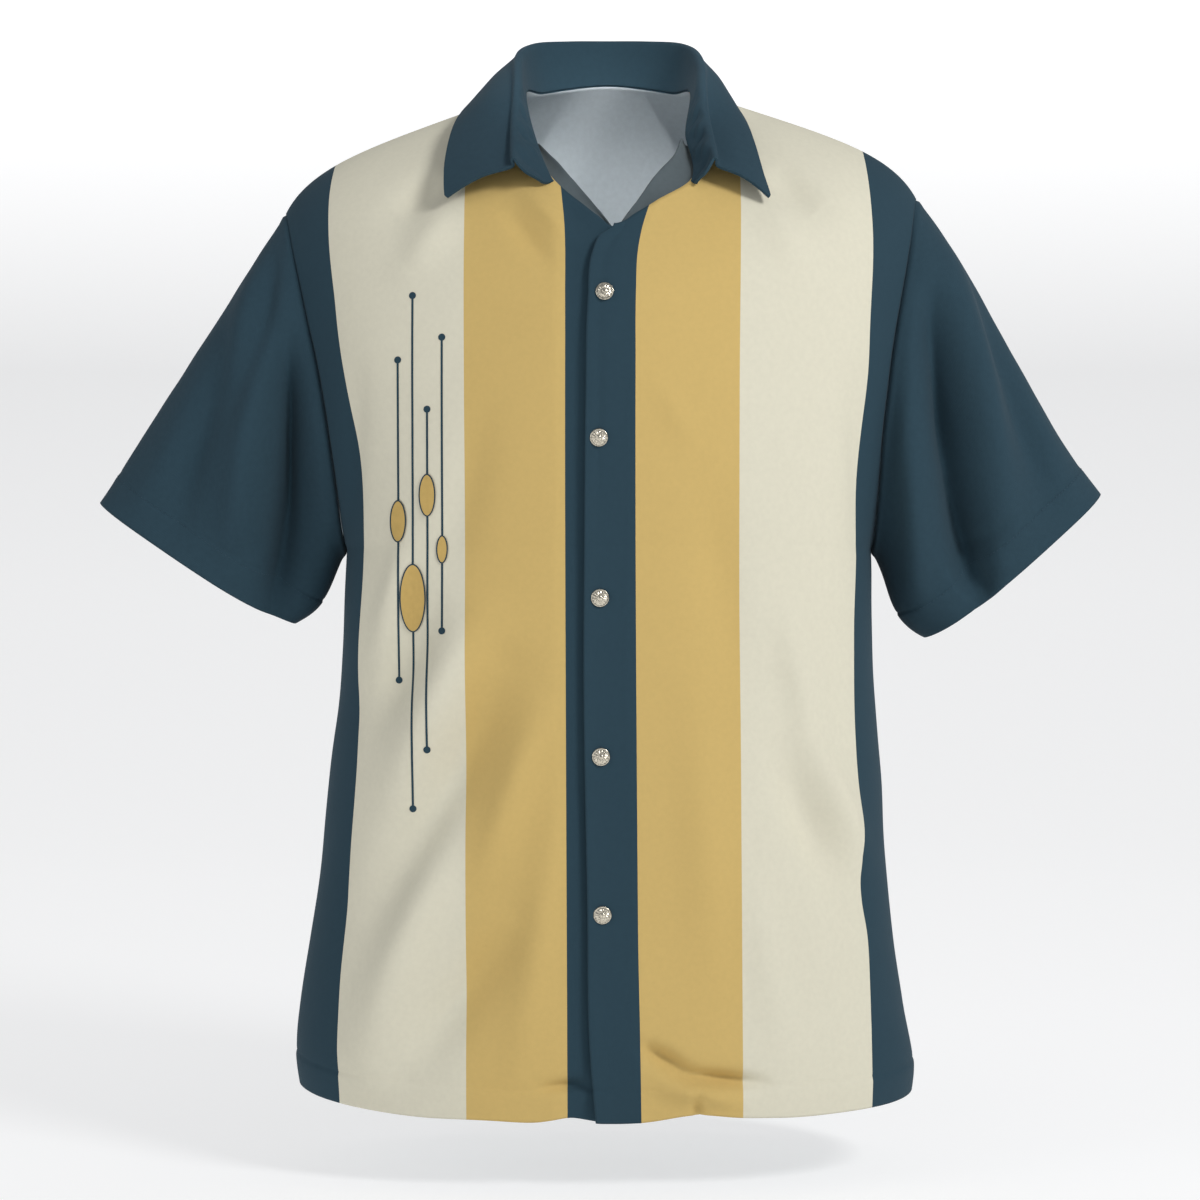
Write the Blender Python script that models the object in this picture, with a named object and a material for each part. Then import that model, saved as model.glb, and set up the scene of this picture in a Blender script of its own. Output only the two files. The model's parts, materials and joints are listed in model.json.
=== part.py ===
"""Short-sleeved bowling shirt with a camp collar, as it hangs when it is worn.

The cloth is a thin wall round an empty body.  The wearer's front faces -Y, the
wearer's left is +X, up is +Z and the origin is the middle of the neck opening at
the height of the shoulder seams.  The tables below are in millimetres; meshes are
made in metres.
"""

import math

import bmesh
import bpy
import numpy as np

MM = 0.001

# ---- cloth -------------------------------------------------------------------
CLOTH = 1.5             # wall of the panels
COLLAR_CLOTH = 2.0      # two layers and a stiffener
SEAM_GAP = 0.3
OVERLAP_DROP = 3.2      # how far the under front lies inside the top front
MITRE_LIMIT = 0.6

# ---- mesh density ------------------------------------------------------------
FRONT_COLUMNS = 14
BACK_COLUMNS = 24
SKIRT_ROWS = 8          # hem to armpit
ARMHOLE_ROWS = 12       # armpit to shoulder point, on one side of the arm
SHOULDER_ROWS = 4       # shoulder point to neck
SLEEVE_ROWS = 7
COLLAR_COLUMNS = 36
FACING_COLUMNS = 8
BUTTON_SIDES = 16

# ---- the body of the shirt below the arms ------------------------------------
# One row for each level ring: height, half width on the wearer's right and left,
# half depth in front and behind.
RINGS = (
    # z,    right, left,  front, back
    (-738.0, 222.0, 221.0, 125.0, 128.0),
    (-712.0, 226.5, 224.0, 129.0, 131.0),
    (-665.0, 224.0, 217.0, 130.0, 132.0),
    (-620.0, 217.0, 210.0, 129.5, 131.0),
    (-560.0, 208.0, 203.0, 128.5, 130.0),
    (-500.0, 202.5, 200.0, 127.0, 129.0),
    (-430.0, 194.5, 195.0, 126.0, 128.0),
    (-336.0, 189.5, 192.0, 125.0, 127.0),
)
RING_POWER = 2.4
ARMPIT_Z = RINGS[-1][0]
HEM_Z = RINGS[0][0]
HEM_RISE = {-1: 14.0, 1: 9.0}       # how much the hem climbs at each side seam

# ---- the shoulders: pull points that each upright line bends towards ----------
SHOULDER_PULL = {-1: (276.0, -70.0), 1: (265.0, -58.0)}     # half width, z
FRONT_PULL = (-137.0, -165.0)       # y, z in the middle of the front
BACK_PULL = (134.0, -42.0)          # y, z in the middle of the back
PULL_POWER = 1.62

# ---- neck seam: angle from the middle of the front round to the back ----------
NECK = (
    # angle, half, shift, y,      z
    (0.0, 0.0, 5.4, -111.0, -111.0),
    (12.0, 14.0, 6.5, -105.5, -102.0),
    (24.0, 29.0, 8.5, -98.0, -91.0),
    (40.0, 48.5, 10.7, -85.0, -76.0),
    (66.0, 55.0, 2.0, -45.0, -38.0),
    (90.0, 61.0, 1.0, 0.0, -3.0),
    (128.0, 49.0, 0.5, 50.0, 10.0),
    (180.0, 0.0, 0.5, 75.0, 15.0),
)
COLLAR_END_ANGLE = 40.0

# ---- closing edges, as x at heights down the front -----------------------------
TOP_EDGE = (
    # z,     x
    (-738.0, -8.0),
    (-690.0, -12.0),
    (-580.0, -14.0),
    (-430.0, -16.5),
    (-330.0, -16.0),
    (-230.0, -15.0),
    (-165.0, -13.5),
    (-134.0, -10.5),
    (-121.0, -4.5),
    (-113.0, 4.0),
    (-105.0, 5.4),
)
UNDER_EDGE_X = 17.0
UNDER_RAMP = (-38.0, -22.0)         # x where the under front starts and ends sinking

# ---- armholes: an ellipse seen from the side -----------------------------------
ARMHOLE_TOP = {-1: -90.0, 1: -79.0}
ARMHOLE_HALF_DEPTH = 53.0

# ---- sleeves -------------------------------------------------------------------
# Cuff: top point x and z, bottom point x and z, half depth, bow of its edge.
CUFFS = {
    -1: (-371.5, -301.0, -229.0, -391.0, 39.0, 6.0),
    1: (361.5, -295.0, 234.0, -401.0, 39.0, 6.0),
}
SLEEVE_ROUNDING = 0.5

# ---- collar: fold line and the leaf's edge --------------------------------------
FOLD = (
    # angle, half, shift, y,     z
    (40.0, 70.0, 4.6, -97.0, -62.0),
    (52.0, 69.0, 3.0, -72.0, -42.0),
    (66.0, 67.0, 2.0, -44.0, -18.0),
    (78.0, 66.0, 2.0, -22.0, 2.0),
    (92.0, 66.0, 2.0, 2.0, 20.0),
    (108.0, 64.0, 1.0, 26.0, 34.0),
    (128.0, 55.0, 1.0, 54.0, 45.0),
    (155.0, 29.0, 0.5, 76.0, 51.0),
    (180.0, 0.0, 0.5, 83.0, 52.5),
)
LEAF_EDGE = (
    # angle, half, shift, y,    z
    (40.0, 114.5, 0.5, -93.0, -91.0),
    (48.0, 113.0, -2.5, -80.0, -72.0),
    (60.0, 110.0, -4.0, -61.0, -51.0),
    (74.0, 105.0, -4.5, -36.0, -29.0),
    (90.0, 97.5, -4.0, 0.0, -9.0),
    (108.0, 90.0, -3.0, 38.0, 0.0),
    (128.0, 72.0, -1.0, 70.0, 1.0),
    (155.0, 36.0, 0.0, 94.0, -1.5),
    (180.0, 0.0, 0.5, 99.0, -3.0),
)
FOLD_RADIUS = 3.0
LEAF_BELLY = 3.0

# ---- facings that stand behind the open neck edge -------------------------------
FACING = (
    # angle, rise on the wearer's right, rise on the wearer's left
    (3.0, 0.8, 1.2),
    (12.0, 4.5, 8.0),
    (24.0, 9.0, 18.0),
    (34.0, 13.0, 25.0),
    (44.0, 16.0, 27.0),
)
FACING_LEAN = (-0.42, 0.40, 0.81)   # towards the middle, back and up
FACING_DEPTH = 0.09                 # how far it runs down inside the front, in levels
FACING_CLEARANCE = 1.0
FACING_RAMP = (42.0, 24.0)          # x where the left facing starts and ends sinking

# ---- buttons --------------------------------------------------------------------
BUTTONS = (
    # x,    z
    (-1.9, -160.0),
    (-5.8, -261.0),
    (-5.1, -372.0),
    (-4.4, -482.0),
    (-3.4, -591.5),
)
BUTTON_PROFILE = (
    # radius, height above the cloth
    (5.4, 0.0),
    (6.3, 0.5),
    (6.3, 1.1),
    (5.2, 1.8),
    (2.8, 2.3),
)

# ---- the largest folds: a soft line between two ends, seen from in front or behind --
# side (-1 front, 1 back), first end x and z, second end x and z, width, height
BODY_FOLDS = (
    (-1, -95.0, -400.0, -150.0, -520.0, 26.0, 4.0),
    (-1, -105.0, -540.0, -175.0, -690.0, 28.0, 5.0),
    (-1, -60.0, -450.0, -130.0, -640.0, 24.0, -4.0),
    (-1, 135.0, -400.0, 185.0, -580.0, 22.0, 4.5),
    (-1, 150.0, -560.0, 195.0, -690.0, 24.0, -3.5),
    (-1, 35.0, -695.0, 120.0, -722.0, 9.0, -3.5),
    (1, -60.0, -330.0, -140.0, -560.0, 28.0, 4.5),
    (1, 70.0, -360.0, 150.0, -600.0, 26.0, 4.5),
    (1, -20.0, -480.0, 30.0, -700.0, 30.0, -4.0),
)
SLEEVE_FOLDS = (
    (-1, -212.0, -170.0, -238.0, -370.0, 17.0, -7.0),
    (-1, -250.0, -150.0, -285.0, -300.0, 20.0, 3.5),
    (-1, 238.0, -165.0, 270.0, -370.0, 16.0, -7.0),
    (-1, 262.0, -150.0, 312.0, -300.0, 18.0, 3.5),
    (1, -215.0, -180.0, -250.0, -370.0, 18.0, -6.0),
    (1, 218.0, -180.0, 255.0, -370.0, 18.0, -6.0),
)

# ---- finishes: colour, roughness, metallic ---------------------------------------
FINISHES = {
    "striped_cloth": ((0.640, 0.600, 0.470, 1.0), 0.85, 0.0),
    "navy_cloth": ((0.030, 0.058, 0.080, 1.0), 0.85, 0.0),
    "cloth_inside": ((0.340, 0.380, 0.410, 1.0), 0.90, 0.0),
    "button_metal": ((0.780, 0.740, 0.640, 1.0), 0.25, 1.0),
}


# ==== curves and vectors ===========================================================

def curve(keys, values, at):
    """Read a smooth curve through (keys, values) at the places `at`."""
    keys, values = np.asarray(keys, float), np.asarray(values, float)
    slopes = np.gradient(values, keys)
    cell = np.clip(np.searchsorted(keys, at) - 1, 0, len(keys) - 2)
    width = keys[cell + 1] - keys[cell]
    part = np.clip((at - keys[cell]) / width, 0.0, 1.0)
    square, cube = part ** 2, part ** 3
    return ((2 * cube - 3 * square + 1) * values[cell]
            + (cube - 2 * square + part) * width * slopes[cell]
            + (3 * square - 2 * cube) * values[cell + 1]
            + (cube - square) * width * slopes[cell + 1])


def column(table, index):
    """One column of a table."""
    return np.array([row[index] for row in table], float)


def both_sides(table):
    """Turn a table of (angle, half, shift, y, z) into rows right round the neck."""
    rows = []
    for angle, half, shift, y, z in table:
        for side in (-1, 1):
            rows.append((side * angle, shift + side * half, y, z))
            rows.append((side * (360.0 - angle), shift - side * half, y, z))
    unique = {round(row[0], 6): row for row in rows}
    return np.array([unique[key] for key in sorted(unique)])


def unit(vector):
    """Vectors of length one."""
    return vector / np.maximum(np.linalg.norm(vector, axis=-1, keepdims=True), 1e-12)


def pack(x, y, z):
    """Stack three arrays as points."""
    return np.stack(np.broadcast_arrays(x, y, z), axis=-1)


def smooth_step(low, high, value):
    """Go softly from 0 at low to 1 at high, which may be the smaller number."""
    part = np.clip((value - low) / (high - low), 0.0, 1.0)
    return part * part * (3.0 - 2.0 * part)


def by_side(angle, pair):
    """Pick the value of the side of the body that an angle lies on."""
    return np.where(angle < 0.0, pair[-1], pair[1])


def folds(points, table):
    """How far a table's soft folds push the cloth out at some points."""
    push = np.zeros(points.shape[:-1])
    for side, x0, z0, x1, z1, width, height in table:
        along = np.array([x1 - x0, z1 - z0])
        length = np.linalg.norm(along)
        along = along / length
        dx, dz = points[..., 0] - x0, points[..., 2] - z0
        part = np.clip((dx * along[0] + dz * along[1]) / length, 0.0, 1.0)
        away = np.hypot(dx - part * length * along[0], dz - part * length * along[1])
        facing = smooth_step(5.0, 45.0, points[..., 1] * side)
        taper = 0.35 + 0.65 * np.sin(math.pi * part)
        push += height * np.exp(-(away / width) ** 2) * facing * taper
    return push


# ==== the surface of the body ========================================================
# A place on it is an angle (0 in the middle of the front, 90 at the wearer's left
# side) and a level: 0 at the hem, 1 at the armpits, 2 at the neck seam.

NECK_RING = both_sides(NECK)


def superellipse(angle, half_width, half_depth, power):
    """A rounded rectangle's point in plan, in the direction of an angle."""
    turn = np.radians(angle)
    sine, cosine = np.sin(turn), np.cos(turn)
    reach = (np.abs(sine) ** power + np.abs(cosine) ** power) ** (-1.0 / power)
    return half_width * sine * reach, -half_depth * cosine * reach


def depth_side(angle, front, back):
    """Blend front and back values so that they meet smoothly at the side seams."""
    weight = smooth_step(-0.35, 0.35, np.cos(np.radians(angle)))
    return back + (front - back) * weight


def ring_point(angle, z):
    """A point of the body below the arms."""
    keys = column(RINGS, 0)
    right, left, front, back = (curve(keys, column(RINGS, i), z) for i in (1, 2, 3, 4))
    x, y = superellipse(angle, by_side(angle, {-1: right, 1: left}),
                        depth_side(angle, front, back), RING_POWER)
    return pack(x, y, z)


def skirt_height(angle, level):
    """Height of the cloth between the hem and the armpits."""
    sine = np.sin(np.radians(angle))
    hem = HEM_Z + by_side(angle, HEM_RISE) * sine ** 2
    return hem + (ARMPIT_Z - hem) * np.clip(level, 0.0, 1.0)


def pull_point(angle):
    """The corner that an upright line of the upper body bends round."""
    sine, cosine = np.sin(np.radians(angle)), np.cos(np.radians(angle))
    width = by_side(angle, {side: SHOULDER_PULL[side][0] for side in (-1, 1)})
    side_z = by_side(angle, {side: SHOULDER_PULL[side][1] for side in (-1, 1)})
    x, y = superellipse(angle, width, depth_side(angle, -FRONT_PULL[0], BACK_PULL[0]),
                        PULL_POWER)
    middle_z = np.where(cosine > 0.0, FRONT_PULL[1], BACK_PULL[1])
    return pack(x, y, middle_z + (side_z - middle_z) * sine ** 2)


def neck_point(angle):
    """A point of the neck seam."""
    keys = NECK_RING[:, 0]
    return pack(*(curve(keys, NECK_RING[:, i], angle) for i in (1, 2, 3)))


def plain_body(angle, level):
    """The body without its folds."""
    angle, level = np.broadcast_arrays(np.asarray(angle, float), np.asarray(level, float))
    low = ring_point(angle, skirt_height(angle, level))
    rise = np.clip(level - 1.0, 0.0, 1.0)[..., None]
    start, corner, end = ring_point(angle, np.full_like(level, ARMPIT_Z)), \
        pull_point(angle), neck_point(angle)
    high = ((1 - rise) ** 3 * start + 3 * rise * (1 - rise) * corner + rise ** 3 * end)
    return np.where(level[..., None] <= 1.0, low, high)


def outward(surface, angle, level):
    """Outward normals of a surface of (angle, level)."""
    level = np.asarray(level, float)
    low, high = np.maximum(level - 0.004, 0.0), np.minimum(level + 0.004, 2.0)
    across = surface(angle + 0.25, level) - surface(angle - 0.25, level)
    up = surface(angle, high) - surface(angle, low)
    return unit(np.cross(across, up))


def body(angle, level):
    """The body's outer surface with its folds."""
    points = plain_body(angle, level)
    push = folds(points, BODY_FOLDS)
    return points + outward(plain_body, angle, level) * push[..., None]


def body_normal(angle, level):
    """Outward normals of the body."""
    return outward(body, angle, level)


def angle_at_x(x, level):
    """Angle of the front's point that has a given x at each level."""
    low, high = np.full_like(level, -60.0), np.full_like(level, 60.0)
    for _ in range(24):
        middle = 0.5 * (low + high)
        over = plain_body(middle, level)[..., 0] > x
        high, low = np.where(over, middle, high), np.where(over, low, middle)
    return 0.5 * (low + high)


def find_on_body(axes, target, angle, level):
    """Angle and level of the body's points with two given coordinates each."""
    step_angle, step_level = 0.05, 0.0005
    for _ in range(9):
        here = plain_body(angle, level)[..., axes]
        by_angle = (plain_body(angle + step_angle, level)[..., axes] - here) / step_angle
        by_level = (plain_body(angle, level + step_level)[..., axes] - here) / step_level
        miss = target - here
        det = by_angle[..., 0] * by_level[..., 1] - by_angle[..., 1] * by_level[..., 0]
        turn = (miss[..., 0] * by_level[..., 1] - miss[..., 1] * by_level[..., 0]) / det
        rise = (by_angle[..., 0] * miss[..., 1] - by_angle[..., 1] * miss[..., 0]) / det
        angle = angle + np.clip(turn, -8.0, 8.0)
        level = np.clip(level + np.clip(rise, -0.1, 0.1), 0.0, 2.0)
    return angle, level


# ==== armholes and seams ================================================================

def armhole(side, turn):
    """Angle and level of the armhole at a turn: 0 the shoulder, 180 the armpit.

    Turns under 180 lie in front and turns over 180 behind.
    """
    top = ARMHOLE_TOP[side]
    radians = np.radians(turn)
    y = -ARMHOLE_HALF_DEPTH * np.sin(radians)
    z = 0.5 * (top + ARMPIT_Z) + 0.5 * (top - ARMPIT_Z) * np.cos(radians)
    angle = side * (90.0 + 0.45 * y)
    level = 1.0 + 0.5 * (z - ARMPIT_Z) / (top - ARMPIT_Z)
    return find_on_body([1, 2], np.stack([y, z], axis=-1), angle, level)


def mitre(first, second):
    """Inward direction shared by two walls that meet, longer where they fold."""
    middle = unit(first + second)
    cosine = np.sum(middle * first, axis=-1, keepdims=True)
    return -middle / np.maximum(cosine, MITRE_LIMIT)


def seam_step(inward, along, towards):
    """Short step across a seam, square to the mitre, towards the second piece."""
    step = unit(np.cross(inward, along))
    sign = np.sign(np.sum(step * towards, axis=-1, keepdims=True))
    return step * np.where(sign == 0.0, 1.0, sign)


# ==== sleeves =================================================================================

def cuff_point(side, turn):
    """A point of a sleeve's hem."""
    top_x, top_z, low_x, low_z, half_depth, bow = CUFFS[side]
    radians = np.radians(turn)
    across = np.array([top_x - low_x, 0.0, top_z - low_z]) * 0.5
    middle = np.array([top_x + low_x, 0.0, top_z + low_z]) * 0.5
    away = unit(np.array([across[2] * side, 0.0, -across[0] * side]))
    away = away * (-1.0 if away[2] > 0.0 else 1.0)
    return (middle + across * np.cos(radians)[..., None]
            + np.array([0.0, -half_depth, 0.0]) * np.sin(radians)[..., None]
            + away * (bow * np.sin(radians) ** 2)[..., None])


def plain_sleeve(side, turn, part):
    """A sleeve's outer surface: part 0 at the armhole, 1 at the cuff."""
    turn, part = np.broadcast_arrays(np.asarray(turn, float), np.asarray(part, float))
    angle, level = armhole(side, turn)
    start, end = body(angle, level), cuff_point(side, turn)
    top_x, top_z, low_x, low_z = CUFFS[side][:4]
    axis = unit(np.array([side * abs(top_z - low_z), 0.0, -abs(top_x - low_x)]))
    length = np.linalg.norm(end - start, axis=-1, keepdims=True)
    bulge = np.zeros_like(start)
    bulge[..., 1] = -SLEEVE_ROUNDING * np.sin(np.radians(turn))
    leave, arrive = length * (axis + bulge), length * axis
    part = part[..., None]
    square, cube = part ** 2, part ** 3
    return ((2 * cube - 3 * square + 1) * start + (cube - 2 * square + part) * leave
            + (3 * square - 2 * cube) * end + (cube - square) * arrive)


def sleeve_normal(surface, side, turn, part):
    """Outward normals of a sleeve."""
    low, high = np.maximum(part - 0.01, 0.0), np.minimum(part + 0.01, 1.0)
    round_it = surface(side, turn + 1.0, part) - surface(side, turn - 1.0, part)
    down = surface(side, turn, high) - surface(side, turn, low)
    return side * unit(np.cross(round_it, down))


def sleeve(side, turn, part):
    """A sleeve's outer surface with its folds, which fade at the armhole."""
    points = plain_sleeve(side, turn, part)
    push = folds(points, SLEEVE_FOLDS) * smooth_step(0.0, 0.18, np.asarray(part, float))
    return points + sleeve_normal(plain_sleeve, side, turn, part) * push[..., None]


def armhole_seam(side, turn):
    """Outer point, inward wall direction and step to the sleeve along an armhole."""
    angle, level = armhole(side, turn)
    point = body(angle, level)
    rim = sleeve_normal(sleeve, side, turn, np.full_like(turn, 0.02))
    inward = mitre(body_normal(angle, level), rim)
    ahead, behind = armhole(side, turn + 0.5), armhole(side, turn - 0.5)
    along = body(*ahead) - body(*behind)
    towards = sleeve(side, turn, np.full_like(turn, 0.06)) - point
    return point, inward, seam_step(inward, along, towards)


# ==== collar ====================================================================================

FOLD_RING, LEAF_RING = both_sides(FOLD), both_sides(LEAF_EDGE)


def ring_curve(ring, angle):
    """A point on a closed line round the neck."""
    return pack(*(curve(ring[:, 0], ring[:, i], angle) for i in (1, 2, 3)))


def collar_sheet(angle, row):
    """Middle of the collar's cloth: row 0 neck seam, 3 fold, 7 edge of the leaf."""
    neck, fold = neck_point(angle), ring_curve(FOLD_RING, angle)
    edge = ring_curve(LEAF_RING, angle)
    rise, fall = unit(fold - neck), unit(edge - fold)
    outward_dir = unit(fall + rise * -np.sum(fall * rise, axis=-1, keepdims=True))
    belly = unit(rise + fall * -np.sum(fall * rise, axis=-1, keepdims=True))
    crest = fold - rise * FOLD_RADIUS
    turn = crest + outward_dir * FOLD_RADIUS * 2.0
    stations = [
        neck,
        neck + (crest - neck) * 0.5,
        crest,
        crest + (rise + outward_dir) * FOLD_RADIUS,
        turn + fall * FOLD_RADIUS * 0.5,
        turn + (edge - turn) * 0.4 + belly * LEAF_BELLY,
        turn + (edge - turn) * 0.72 + belly * LEAF_BELLY * 0.8,
        edge,
    ]
    return stations[row]


# ==== meshes =======================================================================================

def material(slot):
    """One plain material for each finish."""
    found = bpy.data.materials.get(slot)
    if found:
        return found
    colour, roughness, metallic = FINISHES[slot]
    made = bpy.data.materials.new(slot)
    made.use_nodes = True
    shader = made.node_tree.nodes["Principled BSDF"]
    shader.inputs["Base Color"].default_value = colour
    shader.inputs["Roughness"].default_value = roughness
    shader.inputs["Metallic"].default_value = metallic
    return made


def add_object(name, mesh_data, slot):
    """Turn a finished bmesh into a named object."""
    bmesh.ops.recalc_face_normals(mesh_data, faces=mesh_data.faces)
    mesh = bpy.data.meshes.new(name)
    mesh_data.to_mesh(mesh)
    mesh_data.free()
    mesh.materials.append(material(slot))
    mesh.shade_smooth()
    mesh.set_sharp_from_angle(angle=math.radians(40.0))
    made = bpy.data.objects.new(name, mesh)
    bpy.context.scene.collection.objects.link(made)
    return made


def wall(name, outer, inner, slot, tube=False):
    """Close two grids of points, outer and inner, into one wall of cloth."""
    rows, columns = outer.shape[:2]
    made = bmesh.new()
    sheets = [[[made.verts.new(tuple(point * MM)) for point in line] for line in sheet]
              for sheet in (outer, inner)]
    spans = columns if tube else columns - 1
    for row in range(rows - 1):
        for here in range(spans):
            there = (here + 1) % columns
            for sheet in sheets:
                made.faces.new((sheet[row][here], sheet[row][there],
                                sheet[row + 1][there], sheet[row + 1][here]))
    for here in range(spans):
        there = (here + 1) % columns
        for row in (0, rows - 1):
            made.faces.new((sheets[0][row][here], sheets[0][row][there],
                            sheets[1][row][there], sheets[1][row][here]))
    if not tube:
        for row in range(rows - 1):
            for end in (0, columns - 1):
                made.faces.new((sheets[0][row][end], sheets[0][row + 1][end],
                                sheets[1][row + 1][end], sheets[1][row][end]))
    return add_object(name, made, slot)


# ==== panels =======================================================================================

def armhole_rows(side, behind):
    """Levels and angles of the armhole's edge, armpit first."""
    turn = np.linspace(180.0, 0.0, ARMHOLE_ROWS + 1)
    turn = 360.0 - turn if behind else turn
    angle, level = armhole(side, turn)
    return turn, angle, level


def panel_rows(side, behind):
    """Level of each row of a panel and the angle where it meets the side or sleeve."""
    turn, angle, level = armhole_rows(side, behind)
    low = np.linspace(0.0, 1.0, SKIRT_ROWS + 1)[:-1]
    high = np.linspace(level[-1], 2.0, SHOULDER_ROWS + 1)[1:]
    levels = np.concatenate([low, level, high])
    seam = np.full(len(levels), 90.0 * side)
    seam[len(low):len(low) + len(level)] = angle
    step = np.linalg.norm(body(seam + 0.5, levels) - body(seam - 0.5, levels), axis=-1)
    towards = 1.0 if behind else -1.0
    seam = seam + towards * side * 0.5 * SEAM_GAP / step
    return levels, seam, turn


def neck_mitre(angle):
    """Inward wall direction along the neck seam, shared by panels and collar."""
    normal = body_normal(angle, np.full_like(angle, 2.0))
    stand = unit(np.cross(neck_point(angle + 0.5) - neck_point(angle - 0.5),
                          collar_sheet(angle, 1) - collar_sheet(angle, 0)))
    shared = mitre(normal, stand)
    open_part = smooth_step(COLLAR_END_ANGLE - 4.0, COLLAR_END_ANGLE,
                            np.abs(angle))[..., None]
    return shared * open_part - normal * (1.0 - open_part)


def set_seam_walls(outer, inner, side, turn, end):
    """Give a panel's armhole edge the wall direction it shares with the sleeve."""
    inward = armhole_seam(side, turn)[1]
    rows = slice(SKIRT_ROWS, SKIRT_ROWS + ARMHOLE_ROWS + 1)
    inner[rows, end] = outer[rows, end] + inward * CLOTH


def front(side, name):
    """A front panel; the wearer's left one (side 1) lies on top."""
    levels, seam, turn = panel_rows(side, behind=False)
    if side > 0:
        heights = plain_body(np.zeros_like(levels), levels)[..., 2]
        edge_x = curve(column(TOP_EDGE, 0), column(TOP_EDGE, 1), heights)
    else:
        edge_x = np.full_like(levels, UNDER_EDGE_X)
        edge_x[-1] = min(UNDER_EDGE_X, 12.0)
    edge = angle_at_x(edge_x, levels)
    share = np.linspace(0.0, 1.0, FRONT_COLUMNS + 1)
    angle = edge[:, None] + (seam - edge)[:, None] * share ** 1.15
    level = np.repeat(levels[:, None], FRONT_COLUMNS + 1, axis=1)
    outer, normal = body(angle, level), body_normal(angle, level)
    if side < 0:
        sink = smooth_step(UNDER_RAMP[0], UNDER_RAMP[1], outer[..., 0])
        outer = outer - normal * (OVERLAP_DROP * sink)[..., None]
    inner = outer - normal * CLOTH
    inner[-1] = outer[-1] + neck_mitre(angle[-1]) * CLOTH
    set_seam_walls(outer, inner, side, turn, -1)
    return wall(name, outer, inner, "striped_cloth")


def back():
    """The back, one piece from one side seam round to the other."""
    left_levels, left_seam, left_turn = panel_rows(1, behind=True)
    right_levels, right_seam, right_turn = panel_rows(-1, behind=True)
    share = np.linspace(0.0, 1.0, BACK_COLUMNS + 1)
    start, end = left_seam[:, None], (right_seam + 360.0)[:, None]
    angle = start + (end - start) * share
    level = left_levels[:, None] * (1 - share) + right_levels[:, None] * share
    angle = np.where(angle > 180.0, angle - 360.0, angle)
    outer = body(angle, level)
    inner = outer - body_normal(angle, level) * CLOTH
    inner[-1] = outer[-1] + neck_mitre(angle[-1]) * CLOTH
    set_seam_walls(outer, inner, 1, left_turn, 0)
    set_seam_walls(outer, inner, -1, right_turn, -1)
    return wall("back", outer, inner, "navy_cloth")


def sleeve_tube(side, name):
    """A sleeve as a closed tube from its armhole seam to its hem."""
    turn = np.linspace(0.0, 360.0, 2 * ARMHOLE_ROWS + 1)[:-1]
    part = np.linspace(0.0, 1.0, SLEEVE_ROWS + 1) ** 1.1
    turns, parts = np.meshgrid(turn, part)
    outer = sleeve(side, turns, parts)
    inner = outer - sleeve_normal(sleeve, side, turns, parts) * CLOTH
    point, inward, step = armhole_seam(side, turn)
    outer[0] = point + step * SEAM_GAP
    inner[0] = outer[0] + inward * CLOTH
    return wall(name, outer, inner, "navy_cloth", tube=True)


def collar():
    """The collar: a stand sewn to the neck, a fold and a leaf that falls outside."""
    span = 360.0 - 2.0 * COLLAR_END_ANGLE
    angle = COLLAR_END_ANGLE + span * np.linspace(0.0, 1.0, COLLAR_COLUMNS + 1)
    angle = np.where(angle > 180.0, angle - 360.0, angle)
    sheet = np.stack([collar_sheet(angle, row) for row in range(8)])
    across = np.gradient(sheet, axis=0)
    along = np.gradient(sheet, axis=1)
    normal = unit(np.cross(along, across))
    outer = sheet + normal * COLLAR_CLOTH * 0.5
    inner = sheet - normal * COLLAR_CLOTH * 0.5
    neck, inward = sheet[0], neck_mitre(angle)
    step = seam_step(inward, along[0], across[0])
    outer[0] = neck + step * SEAM_GAP
    inner[0] = outer[0] + inward * CLOTH
    return wall("collar", outer, inner, "navy_cloth")


def facing(side, name):
    """The strip that stands behind one side of the open neck."""
    angle = np.linspace(FACING[0][0], FACING[-1][0], FACING_COLUMNS + 1)
    rise = curve(column(FACING, 0), column(FACING, 1 if side < 0 else 2), angle)
    angle = angle * side
    lean = unit(np.array([FACING_LEAN[0] * side, FACING_LEAN[1], FACING_LEAN[2]]))
    top_level = np.full_like(angle, 2.0)
    normal = body_normal(angle, top_level)
    place = neck_point(angle)[..., 0]
    if side < 0:
        extra = OVERLAP_DROP * smooth_step(UNDER_RAMP[0], UNDER_RAMP[1], place)
    else:
        extra = (OVERLAP_DROP + CLOTH) * smooth_step(FACING_RAMP[0], FACING_RAMP[1], place)
    sink = (CLOTH + FACING_CLEARANCE + extra)[..., None]
    edge = neck_point(angle) - normal * sink
    rows = [body(angle, top_level - FACING_DEPTH) - body_normal(angle, top_level - FACING_DEPTH) * sink,
            edge, edge + lean * rise[:, None] * 0.5, edge + lean * rise[:, None]]
    outer = np.stack(rows)
    face = unit(np.cross(np.gradient(outer, axis=1), np.gradient(outer, axis=0))) * side
    return wall(name, outer, outer - face * 1.0, "cloth_inside")


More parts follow.
